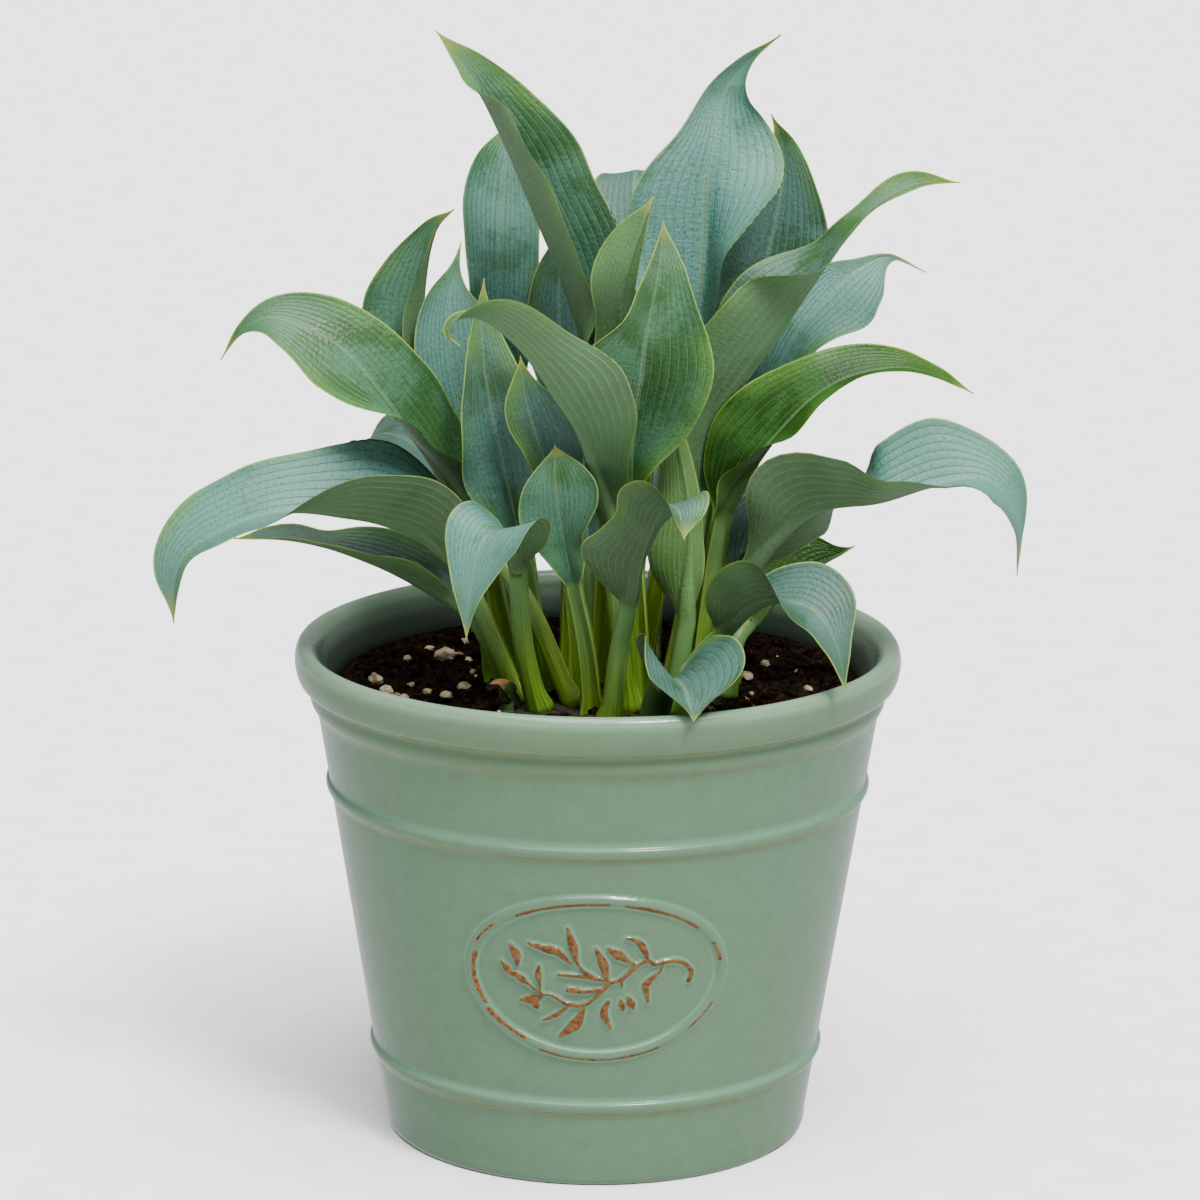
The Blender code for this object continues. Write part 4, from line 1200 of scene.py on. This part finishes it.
        Half((50, 22, 15, 15), (24,)), Half((50, 22, 15, 15), (24,)), hidden=True),
    LeafShape(
        "leaf_back_low_right", Skin.BLUE, Hue.DUSTY, -45, [(54, 24), (62, 36, 262)],
        [(72, 50, 285), (92, 76, 304), (110, 102, 309), (126, 126, 302), (134, 140, 290)],
        Half((50, 22, 15, 15), (22,)), Half((50, 22, 15, 15), (22,)), hidden=True),
    LeafShape(
        "dry_sheath", Skin.DRY, Hue.STRAW, 60, [(-42, -60), (-42, -60, 232.5)],
        [(-43, -61, 235), (-45, -63, 239), (-48, -65, 242), (-52, -67, 243)],
        Half((50, 40, 30, 30), (3,)), Half((50, 40, 30, 30), (3,)), veins=4, wave=0.6, lobe=0.0),
)


# ---------------------------------------------------------------- planter

@dataclass(frozen=True)
class Stroke:
    """One raised stroke of the medallion, in millimetres across and above the base.

    Attributes:
        halves: Its half widths at its first point, halfway and at its last point.
        points: The stroke's middle line.
    """

    halves: tuple[float, float, float]
    points: Outline


def leaflet(width: float, *points: tuple[float, float]) -> Stroke:
    """An almond-shaped leaflet, narrow at both ends."""
    return Stroke((width * 0.14, width * 0.40, width * 0.12), points)


def twig(width: float, *points: tuple[float, float]) -> Stroke:
    """A stalk of nearly even width."""
    return Stroke((width * 0.44, width * 0.42, width * 0.34), points)


SPRIG: tuple[Stroke, ...] = (
    Stroke((1.15, 0.95, 0.6), (
        (45.5, 109), (46.5, 113.5), (43.5, 117.5), (39, 120), (33.5, 120), (28, 119), (24.5, 121),
        (19.5, 119), (15.5, 115), (11.5, 111.5), (7, 110), (4, 107), (0, 102.5), (-5, 98.5),
        (-10.5, 98), (-15, 99), (-19, 101.5), (-22.5, 103), (-25.5, 103), (-29.5, 105.5),
        (-33.5, 109), (-38, 112))),
    leaflet(5.4, (-9, 121), (-10.5, 128.5), (-13, 138.5)),
    twig(1.5, (-9, 121), (-6, 116.5), (1.5, 112), (5.5, 111)),
    leaflet(5.4, (-11.5, 120), (-18.5, 126), (-23, 127), (-31.5, 129.5)),
    leaflet(6.0, (5.5, 111.5), (3.5, 120), (0, 128)),
    leaflet(6.0, (15, 121.5), (9.5, 125.5), (6, 128)),
    twig(1.5, (15, 121.5), (19.5, 119)),
    leaflet(4.2, (25, 120), (23, 126), (19.5, 131.5), (14, 133.5)),
    leaflet(6.2, (-37.5, 117.5), (-38, 123), (-40.5, 128)),
    leaflet(4.2, (-27, 108), (-27.5, 112.5), (-27, 118)),
    twig(1.4, (-26.5, 104.5), (-27, 108)),
    twig(2.2, (2, 112), (-7, 113.5), (-17.5, 114)),
    Stroke((0.7, 1.2, 1.6), ((4, 107), (-4, 105.5), (-12.5, 106))),
    leaflet(4.6, (-39.5, 111.5), (-42.5, 114.5), (-45.5, 118.5)),
    leaflet(4.6, (-32.5, 108), (-36, 110.5), (-39, 113.5)),
    leaflet(6.0, (-26, 102), (-31, 100), (-36.5, 99)),
    leaflet(5.0, (-30.5, 99.5), (-28.5, 95.5)),
    leaflet(3.2, (-13, 98), (-18.5, 93), (-26, 89)),
    leaflet(7.4, (-6, 95.5), (-9.5, 88.5), (-17, 81.5)),
    leaflet(5.2, (6, 100), (4, 94), (7.5, 86)),
    leaflet(3.8, (12, 101), (13.5, 95.5)),
    leaflet(5.0, (15.5, 102.5), (18.5, 96)),
    twig(1.4, (12.5, 110.5), (12.5, 106.5)),
    leaflet(4.6, (30.5, 115), (24.5, 109), (24.5, 105), (25.5, 99.5)),
    twig(1.4, (31.5, 117.5), (30.5, 115)),
)

# where the oval's glaze is worn: from and to, in degrees, and how far inside the bead's
# middle each dash lies and its half width, in millimetres
DASHES = (
    (38, 78, 1.6, 0.8), (84, 128, 1.5, 0.7), (140, 158, 0.2, 0.6), (165, 205, 1.8, 0.8),
    (208, 236, 1.0, 0.9), (244, 300, -1.8, 0.75), (318, 338, -0.6, 0.5), (8, 24, 1.2, 0.5),
)


@dataclass
class Planter:
    """The round planter: wall, ribs, rolled rim and oval medallion, in millimetres."""

    foot_radius: float = 105.5
    foot_height: float = 4.0
    wall_slope: float = 0.16
    wall_thickness: float = 10.5
    mouth: tuple[float, float] = (128.6, 216.0)
    rib_heights: tuple[float, float] = (42.2, 176.8)
    rib_half_height: float = 3.0
    rib_proud: float = 2.1
    collar_bottom: float = 216.0
    drain_radius: float = 10.0
    floor_top: float = 13.0
    front_arc: float = math.radians(72.0)
    front_steps: int = 190
    back_steps: int = 124
    panel: tuple[float, float] = (66.0, 158.0)
    panel_reach: float = 72.0
    oval_height: float = 112.0
    oval_radii: tuple[float, float] = (62.4, 41.0)
    oval_half_width: float = 3.1
    oval_proud: float = 2.4
    sprig_proud: float = 1.7

    def wall_radius(self, height: np.ndarray | float) -> np.ndarray | float:
        """Outer radius of the wall at a height."""
        return self.foot_radius + self.wall_slope * (height - self.foot_height)

    def rib(self, height: float) -> Outline:
        """Outline of one rounded band."""
        points = []
        for turn in np.radians(np.linspace(-90, 90, 13)):
            z = height + self.rib_half_height * math.sin(turn)
            points.append((self.wall_radius(z) + self.rib_proud * math.cos(turn), z))
        return points

    def straight(self, low: float, high: float, step: float) -> Outline:
        """Outline of a stretch of plain wall, without its two ends."""
        count = max(2, round((high - low) / step))
        return [(self.wall_radius(z), z) for z in np.linspace(low, high, count + 1)[1:-1]]

    def rim(self) -> Outline:
        """Outline of the collar and rolled rim, from the wall over to the inside."""
        marks = [(140.4, 216.7), (141.8, 218.6), (142.6, 221.6), (142.2, 225.0), (142.4, 227.0),
                 (144.6, 227.9), (147.6, 229.9), (149.3, 234.2), (150.0, 239.5), (149.5, 244.0),
                 (147.8, 247.1), (145.2, 247.9), (142.2, 246.7), (139.4, 243.8), (137.2, 239.8),
                 (133.4, 234.4), (130.3, 229.2), (129.0, 223.0), self.mouth]
        return [tuple(point) for point in smooth_path(marks, 44)]

    def outline(self) -> Outline:
        """The wall's closed outline as (radius, height), starting under the floor."""
        lower, upper = self.rib_heights
        reach = self.rib_half_height
        low, high = self.panel
        points = [(self.drain_radius, 3.0), (60.0, 3.0), (88.0, 3.0), (90.5, 0.3), (91.5, 0.0),
                  (101.0, 0.0), (103.4, 0.4), (105.0, 1.7), (105.5, 3.6), (105.7, 5.4)]
        points += self.straight(5.4, lower - reach, 3.6)
        points += self.rib(lower)
        points += self.straight(lower + reach, low, 3.2)
        points += [(self.wall_radius(low), low)] + self.straight(low, high, 0.8)
        points += [(self.wall_radius(high), high)] + self.straight(high, upper - reach, 3.2)
        points += self.rib(upper)
        points += self.straight(upper + reach, self.collar_bottom, 4.0)
        points += [(self.wall_radius(self.collar_bottom) + 0.2, self.collar_bottom)]
        points += self.rim()
        bend = self.floor_top + 6.0
        inside = self.wall_radius(bend) - self.wall_thickness
        points += [tuple(point) for point in np.linspace(self.mouth, (inside, bend), 7)[1:]]
        points += [(inside - 2.0, self.floor_top + 2.0), (inside - 6.0, self.floor_top),
                   (60.0, self.floor_top), (self.drain_radius, self.floor_top)]
        return points

    def oval(self, place: np.ndarray) -> tuple[np.ndarray, np.ndarray]:
        """Place points against the medallion's oval.

        Args:
            place: The points, across and above the base.

        Returns:
            How far each lies inside the oval's line, and which way from its middle.
        """
        centred = (place - (0, self.oval_height)) / self.oval_radii
        turns = np.linspace(0, math.tau, 181)
        path = np.stack([np.cos(turns), np.sin(turns)], axis=1) * self.oval_radii
        gap = line_gap(place, path + (0, self.oval_height), np.zeros(len(path)))
        inside = np.where((centred ** 2).sum(axis=1) < 1, gap, -gap)
        return inside, np.degrees(np.arctan2(centred[:, 1], centred[:, 0])) % 360

    def sprig(self, place: np.ndarray) -> np.ndarray:
        """Measure how far places lie from the sprig's edge, negative inside it."""
        gap = np.full(len(place), FAR)
        for stroke in SPRIG:
            path = smooth_path(stroke.points, 6 * len(stroke.points))
            halves = np.interp(np.linspace(0, 1, len(path)), (0, 0.5, 1), stroke.halves)
            gap = np.minimum(gap, line_gap(place, path, halves))
        return gap

    def medallion(self, place: np.ndarray) -> Values:
        """Work out the relief on the front.

        Args:
            place: Places around the wall and above the base, in millimetres.

        Returns:
            How far each place stands proud, and how worn and how pooled its glaze is.
        """
        across, height = place.T
        wobble = 0.25 * np.sin(across / 3.1 + height / 4.7) + 0.2 * np.sin(height / 2.3)
        inside, turn = self.oval(place)
        gap = np.abs(inside)
        bead = self.oval_proud * np.clip(1 - (gap / self.oval_half_width) ** 2, 0, 1) ** 0.8
        # a shallow groove runs inside the bead
        proud = bead - 0.35 * np.exp(-((inside - 4.8) / 1.1) ** 2)
        worn = np.zeros(len(place))
        for low, high, offset, half in DASHES:
            ends = ease((turn - low) / 4 + 0.5) * ease((high - turn) / 4 + 0.5)
            edge = half - np.abs(inside - offset) + wobble * 0.6
            worn = np.maximum(worn, ends * ease(edge / 0.7 + 0.5))
        sprig = self.sprig(place) + wobble * 0.35
        proud = np.maximum(proud, self.sprig_proud * (1 - ease((sprig + 0.45) / 1.25)))
        worn = np.maximum(worn, 1 - ease((sprig + 0.35) / 0.6))
        pool = np.maximum(0.7 * tent(sprig - 0.8, 0.9), 0.6 * tent(gap - 3.4, 1.2))
        return {"proud": proud, "worn": worn, "pool": pool * (1 - worn)}

    def glazed(self, angle: np.ndarray, radius: np.ndarray, height: np.ndarray) -> Values:
        """Work out where the glaze thins, pools and warms on the plain wall, where shade is painted on the
        inside wall and where a highlight is painted on the rim's top.

        Args:
            angle: Each point's angle from the front.
            radius: Its radius.
            height: Its height.

        Returns:
            The values that the glaze reads.
        """
        outer = radius > self.wall_radius(height) - 3.0
        ragged = 0.6 * np.sin(angle * 23 + 1) + 0.5 * np.sin(angle * 57) + 0.4 * np.sin(angle * 9)
        pool, edge, warm = (np.zeros(len(angle)) for _ in range(3))
        for rib in self.rib_heights:
            above = height - rib
            pool += tent(above - 3.6, 2.4) * 0.8
            thin = 1 - ease((np.abs(above + 3.1 + 0.2 * ragged) - 0.3) / 0.9)
            edge += thin * (0.75 + 0.2 * ragged)
            warm += tent(above + 1.5, 3.5) * 0.6
        for line, half, fade, share in (
                (self.collar_bottom + 1.2, 0.4, 1.2, 0.65), (227.6, 0.6, 2.2, 0.6),
                (245.4 + 0.5 * ragged, 0.2, 1.0, 0.4)):
            edge += (1 - ease((np.abs(height - line) - half) / fade)) * share
        warm += ease((height - 213) / 8) * (1 - ease((height - 240) / 5)) * 0.4
        # the inside wall below the rim, where shade is painted into the glaze colour
        inner = (~outer & (height > 100)) * (1 - ease((height - 234) / 9))
        # crest: the rim's top, painted paler as a highlight over a greyer glaze
        return {"outer": outer, "pool": pool * outer, "warm": warm * outer, "inner": inner,
                "edge": edge * outer, "crest": ease((height - 241) / 4)}

    def shaped(self, spots: np.ndarray) -> tuple[np.ndarray, Values]:
        """Raise the medallion on the turned wall and note where the glaze thins and pools.

        Args:
            spots: The wall's points as rows, in metres.

        Returns:
            Their new places, in millimetres, and the values that the glaze reads.
        """
        spots = spots / MM
        x, y, height = spots.T
        radius, angle = np.hypot(x, y), np.arctan2(x, -y)
        values = self.glazed(angle, radius, height)
        outer = values.pop("outer")
        across = angle * self.wall_radius(self.oval_height)
        low, high = self.panel
        front = outer & (np.abs(across) < self.panel_reach) & (height > low + 1) & (height < high - 1)
        place = np.stack([across[front], height[front]], axis=1)
        # thrown by hand: the wall wavers a little
        waver = 0.25 * np.sin(2 * angle + 0.8) + 0.18 * np.sin(3 * angle + height / 60)
        lift = waver * (height > 6) * (1 - ease((height - 205) / 12)) * outer
        values["worn"] = np.zeros(len(spots))
        relief = self.medallion(place)
        lift[front] += relief["proud"]
        values["worn"][front] = relief["worn"]
        values["pool"][front] += relief["pool"]
        spots[:, :2] *= (1 + lift / np.maximum(radius, 1))[:, None]
        return spots, {key: np.clip(part, 0, 1) for key, part in values.items()}

    def build(self) -> BMesh:
        """Turn the planter, finely across the medallion, and raise its relief."""
        arcs = ((self.front_arc, self.front_steps), (math.tau - self.front_arc, self.back_steps))
        bm = turned(self.outline(), arcs, start=-(math.pi + self.front_arc) / 2, closed=True)
        reshape(bm, self.shaped)
        return bm

    def dress(self, finish: Material) -> None:
        """Build the planter and glaze it."""
        Piece("planter", "glaze", ("pot",)).place(self.build(), finish)


# ---------------------------------------------------------------- potting mix and crown

@dataclass
class PottingMix:
    """The mix in the planter, its crumbs and its pale mineral grains, in millimetres."""

    top: float = 228.0
    radius: float = 128.2
    wall: tuple[float, float] = (128.0, 216.0)
    foot: float = 97.0
    floor: float = 13.4
    mound: float = 4.6
    crown: tuple[float, float] = (5.0, -22.0)
    crumbs: int = 2600
    small_grains: int = 46
    grain_places: tuple[Point, ...] = (
        (-110, 0, 3.2), (-104, -22, 3.4), (-100, -25, 2.6), (-95, -26, 2.4), (-93, -3, 2.0),
        (-96, 40, 3.0), (-78, 46, 4.2), (-72, 44, 3.6), (-66, 42, 3.0), (-66, -14, 3.2),
        (-56, -86, 3.8), (-66, -82, 2.8), (-78, -76, 3.2), (-50, -84, 2.2), (-74, -40, 3.0),
        (-88, -52, 2.4), (-40, -96, 2.4), (-62, 10, 2.0), (-84, -12, 2.2), (74, 8, 3.2),
        (72, -40, 2.6), (84, -62, 2.8), (96, -40, 2.2), (62, -90, 2.4), (104, -8, 2.4),
        (84, 40, 3.0), (60, 84, 3.2), (8, 104, 2.6), (-44, 92, 3.2), (-86, 62, 2.6),
        (28, 96, 2.0), (-68, 74, 2.4), (44, 66, 2.2), (-20, -104, 2.2), (100, 26, 2.0),
    )

    def surface(self, x: float, y: float) -> float:
        """Height of the mix at a place."""
        reach = math.hypot(x, y) / self.radius
        broad = noise.noise(Vector((x / 26, y / 26, 2.0))) * 3.4
        lumps = noise.fractal(Vector((x / 8, y / 8, 5.0)), 0.9, 2.2, 4) * 2.9
        off_crown = ((x - self.crown[0]) / 66) ** 2 + ((y - self.crown[1]) / 66) ** 2
        mound = self.mound * math.exp(-off_crown)
        return self.top - 3.2 + mound + (broad + lumps) * (1.0 if reach < 0.96 else 0.6)

    def build(self) -> BMesh:
        """Turn the mix and roughen its top."""
        outline = [(0.0, self.floor), (self.foot - 4, self.floor), (self.foot, self.floor + 7),
                   self.wall, (self.radius, self.top - 1.0)]
        outline += [(self.radius * (1 - k / 84), self.top) for k in range(1, 85)]
        bm = turned(outline, [(math.tau, 220)])
        for vert in bm.verts:
            if vert.co.z > (self.top - 0.5) * MM:
                vert.co.z = self.surface(vert.co.x / MM, vert.co.y / MM) * MM
        return bm

    @staticmethod
    def lump(bm: BMesh, centre: Point, size: float, roundness: int, dice: random.Random) -> None:
        """Add one uneven lump.

        Args:
            bm: The mesh it is added to.
            centre: Its centre.
            size: Its radius.
            roundness: The ball's subdivisions.
            dice: Where its unevenness comes from.
        """
        made = bmesh.ops.create_icosphere(bm, subdivisions=roundness, radius=size * MM)
        stretch = Vector([dice.uniform(low, high) for low, high in ((0.7, 1.35), (0.7, 1.25), (0.5, 0.95))])
        turn = Matrix.Rotation(dice.uniform(0, math.tau), 3, "Z")
        turn = turn @ Matrix.Rotation(dice.uniform(-0.6, 0.6), 3, "X")
        shift = Vector([dice.uniform(0, 90) for _ in range(3)])
        for vert in made["verts"]:
            out = vert.co.normalized()
            swell = 1 + 0.34 * noise.noise(out * 1.7 + shift)
            if roundness > 1:
                swell += 0.16 * noise.noise(out * 4.2 + shift)
            vert.co = turn @ (vert.co * swell * stretch) + Vector(centre) * MM

    def scatter(self, places: Sequence[Point], rise: float, roundness: int, bm: BMesh,
                dice: random.Random) -> None:
        """Lay lumps on the mix.

        Args:
            places: Each lump's place and size.
            rise: How far each stands out, in parts of its size.
            roundness: The lumps' subdivisions.
            bm: The mesh that they are added to.
            dice: Where their unevenness comes from.
        """
        for x, y, size in places:
            self.lump(bm, (x, y, self.surface(x, y) + size * rise), size, roundness, dice)

    def loose(self) -> BMesh:
        """Scatter crumbs of mix."""
        dice = random.Random(41)
        bm = bmesh.new()
        for _ in range(self.crumbs):
            reach = (self.radius - 5) * math.sqrt(dice.uniform(0.02, 1.0))
            turn = dice.uniform(0, math.tau)
            size = 0.8 + 3.2 * dice.random() ** 3.5
            place = (reach * math.cos(turn), reach * math.sin(turn), size)
            self.scatter([place], 0.15, 1, bm, dice)
        return bm

    def grains(self) -> BMesh:
        """Scatter the pale grains."""
        dice = random.Random(17)
        bm = bmesh.new()
        self.scatter(self.grain_places, 0.45, 3, bm, dice)
        for _ in range(self.small_grains):
            turn, reach = dice.uniform(0, math.tau), dice.uniform(60, 122)
            place = (reach * math.cos(turn), reach * math.sin(turn), dice.uniform(0.7, 1.3))
            self.scatter([place], 0.4, 2, bm, dice)
        return bm

    def dress(self, mix: Material, grain: Material) -> None:
        """Build the mix, its crumbs and its grains in their finishes."""
        Piece("potting_mix", "potting_mix", ("soil",)).place(self.build(), mix)
        Piece("mix_crumbs", "potting_mix").place(self.loose(), mix)
        Piece("mineral_grains", "potting_mix").place(self.grains(), grain)


@dataclass
class Rootstock:
    """The crown that the stalks grow from, mostly buried, in millimetres."""

    centre: tuple[float, float] = (5.0, -22.0)
    radii: tuple[float, float] = (62.0, 63.0)
    top: float = 228.6
    depth: float = 20.0

    def build(self) -> BMesh:
        """Turn the rootstock and knobble it."""
        outline = [(0.0, -1.0), (0.5, -0.95), (0.8, -0.7), (0.95, -0.4), (1.0, -0.2), (0.98, -0.05)]
        outline += [(0.9 - 0.1 * k, 0.0) for k in range(9)] + [(0.0, 0.0)]
        wide, deep = self.radii
        bm = turned([(r * wide, z * self.depth) for r, z in outline], [(math.tau, 96)])
        for vert in bm.verts:
            x, y, z = vert.co / MM
            knob = noise.noise(Vector((x * 5 / wide, y * 5 / wide, 1.0))) * 1.4
            knob *= z > -0.1 * self.depth
            vert.co = Vector((self.centre[0] + x, self.centre[1] + y * deep / wide,
                              self.top + z + knob)) * MM
        return bm

    def dress(self, finish: Material) -> None:
        """Build the rootstock in its finish."""
        Piece("rootstock", "crown", ("crown",)).place(self.build(), finish)


# ---------------------------------------------------------------- studio

@dataclass(frozen=True)
class Skylight:
    """One broad, distant light.

    Attributes:
        name: The light's name.
        source: The direction that it comes from.
        strength: Its strength.
        spread: How wide it looks, in degrees.
    """

    name: str
    source: Point
    strength: float
    spread: float

    def hang(self) -> None:
        """Add the light to the scene."""
        light = bpy.data.lights.new(self.name, "SUN")
        light.energy = self.strength
        light.angle = math.radians(self.spread)
        item = bpy.data.objects.new(self.name, light)
        item.rotation_euler = Vector(self.source).to_track_quat("Z", "Y").to_euler()
        bpy.context.scene.collection.objects.link(item)


@dataclass
class Studio:
    """A pale floor, soft lights and the camera, in metres and degrees.

    Attributes:
        floor_size: Half the floor's width.
        walls: How bright the walls and ceiling are.
        ground: How bright the floor looks in a gloss.
        air: The room's tint.
        lights: The lights.
        distance: How far the camera stands from its target.
        elevation: How far above the target it stands.
        target: Where on the planter's middle plane it looks: to the side and up.
        lean: How far it leans to one side.
        lens: Its focal length, in millimetres.
    """

    floor_size: float = 16.0
    walls: float = 0.5
    ground: float = 0.95
    air: Colour = (0.96, 0.98, 1.0)
    lights: tuple[Skylight, ...] = (Skylight("overhead", (0.08, -0.30, 1.0), 7.4, 56.0),
                                    Skylight("key", (0.34, -0.62, 1.0), 4.2, 14.0))
    distance: float = 2.6
    elevation: float = 14.1
    target: tuple[float, float] = (0.00086, 0.268)
    lean: float = 0.37
    lens: float = 157.9

    def floor(self) -> None:
        """Lay the floor."""
        bm = bmesh.new()
        bmesh.ops.create_grid(bm, x_segments=8, y_segments=8, size=self.floor_size)
        item = add_object("floor", bm, FLOOR_FINISH.make())
        item.visible_glossy = False

    def surroundings(self) -> None:
        """Fill the room with even light."""
        world = bpy.data.worlds.new("room")
        bpy.context.scene.world = world
        world.use_nodes = True
        nodes, links = world.node_tree.nodes, world.node_tree.links
        background = nodes["Background"]
        background.inputs["Color"].default_value = (*self.air, 1.0)
        height = nodes.new("ShaderNodeSeparateXYZ")
        links.new(nodes.new("ShaderNodeTexCoord").outputs["Generated"], height.inputs[0])
        level = nodes.new("ShaderNodeMapRange")
        for socket, value in zip(level.inputs[1:5], (-0.06, 0.02, self.ground, self.walls)):
            socket.default_value = value
        links.new(height.outputs["Z"], level.inputs[0])
        links.new(level.outputs[0], background.inputs["Strength"])

    def camera(self) -> None:
        """Stand the camera in front, a little above."""
        data = bpy.data.cameras.new("camera")
        data.lens = self.lens
        data.sensor_width = 36.0
        data.clip_end = 60.0
        item = bpy.data.objects.new("camera", data)
        across, height = self.target
        tilt = Matrix.Rotation(math.radians(90.0 - self.elevation), 4, "X")
        lean = Matrix.Rotation(math.radians(self.lean), 4, "Z")
        back = Matrix.Translation((0.0, 0.0, self.distance))
        item.matrix_world = Matrix.Translation((across, 0.0, height)) @ tilt @ lean @ back
        bpy.context.scene.collection.objects.link(item)
        bpy.context.scene.camera = item

    def build(self) -> None:
        """Set up the whole studio."""
        self.floor()
        self.surroundings()
        for light in self.lights:
            light.hang()
        self.camera()


# ---------------------------------------------------------------- the plant

# the third colour of each finish is the underside, with painted glow of light shining through the leaf
LEAF_FINISHES: dict[Hue, LeafFinish] = {
    Hue.FROSTED: LeafFinish("leaf_frosted", tone(67, 110, 100), tone(48, 88, 60), tone(60, 88, 54),
                            bloomed=0.8, seed=1.0),
    Hue.DUSTY: LeafFinish("leaf_dusty", tone(50, 84, 76), tone(38, 68, 42), tone(53, 79, 48),
                          bloomed=0.65, seed=5.0),
    Hue.SEA: LeafFinish("leaf_sea", tone(54, 94, 72), tone(38, 74, 38), tone(62, 92, 58),
                        bloomed=0.5, seed=9.0),
    Hue.MEADOW: LeafFinish("leaf_meadow", tone(52, 92, 64), tone(38, 74, 34), tone(60, 88, 50),
                           bloomed=0.4, seed=13.0),
    Hue.GRASS: LeafFinish("leaf_grass", tone(36, 76, 22), tone(24, 58, 4), tone(56, 84, 34),
                          bloomed=0.3, seed=17.0, gloss=0.16),
    Hue.OLIVE: LeafFinish("leaf_olive", tone(58, 92, 76), tone(40, 76, 40), tone(60, 92, 56),
                          bloomed=0.5, seed=21.0),
    Hue.MOSS: LeafFinish("leaf_moss", tone(62, 98, 56), tone(46, 78, 32), tone(72, 104, 52),
                         bloomed=0.4, seed=25.0),
}


@dataclass
class PottedHosta:
    """The whole plant in its planter."""

    planter: Planter = field(default_factory=Planter)
    mix: PottingMix = field(default_factory=PottingMix)
    rootstock: Rootstock = field(default_factory=Rootstock)
    leaves: tuple[LeafShape, ...] = LEAVES

    def build(self) -> None:
        """Build and dress every piece."""
        self.planter.dress(GlazeFinish().make())
        self.mix.dress(MixFinish().make(), GrainFinish().make())
        self.rootstock.dress(CROWN_FINISH.make())
        finishes = {hue: finish.make() for hue, finish in LEAF_FINISHES.items()}
        finishes[Hue.STRAW] = BractFinish().make()
        for seed, shape in enumerate(self.leaves):
            Leaf(shape, seed).dress(finishes)


def main() -> None:
    """Load the frame, build the plant and set up its studio."""
    logging.basicConfig(level=logging.INFO, format="%(name)s: %(message)s")
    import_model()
    PottedHosta().build()
    Studio().build()
    bpy.context.view_layer.update()


if __name__ == "__main__":
    main()
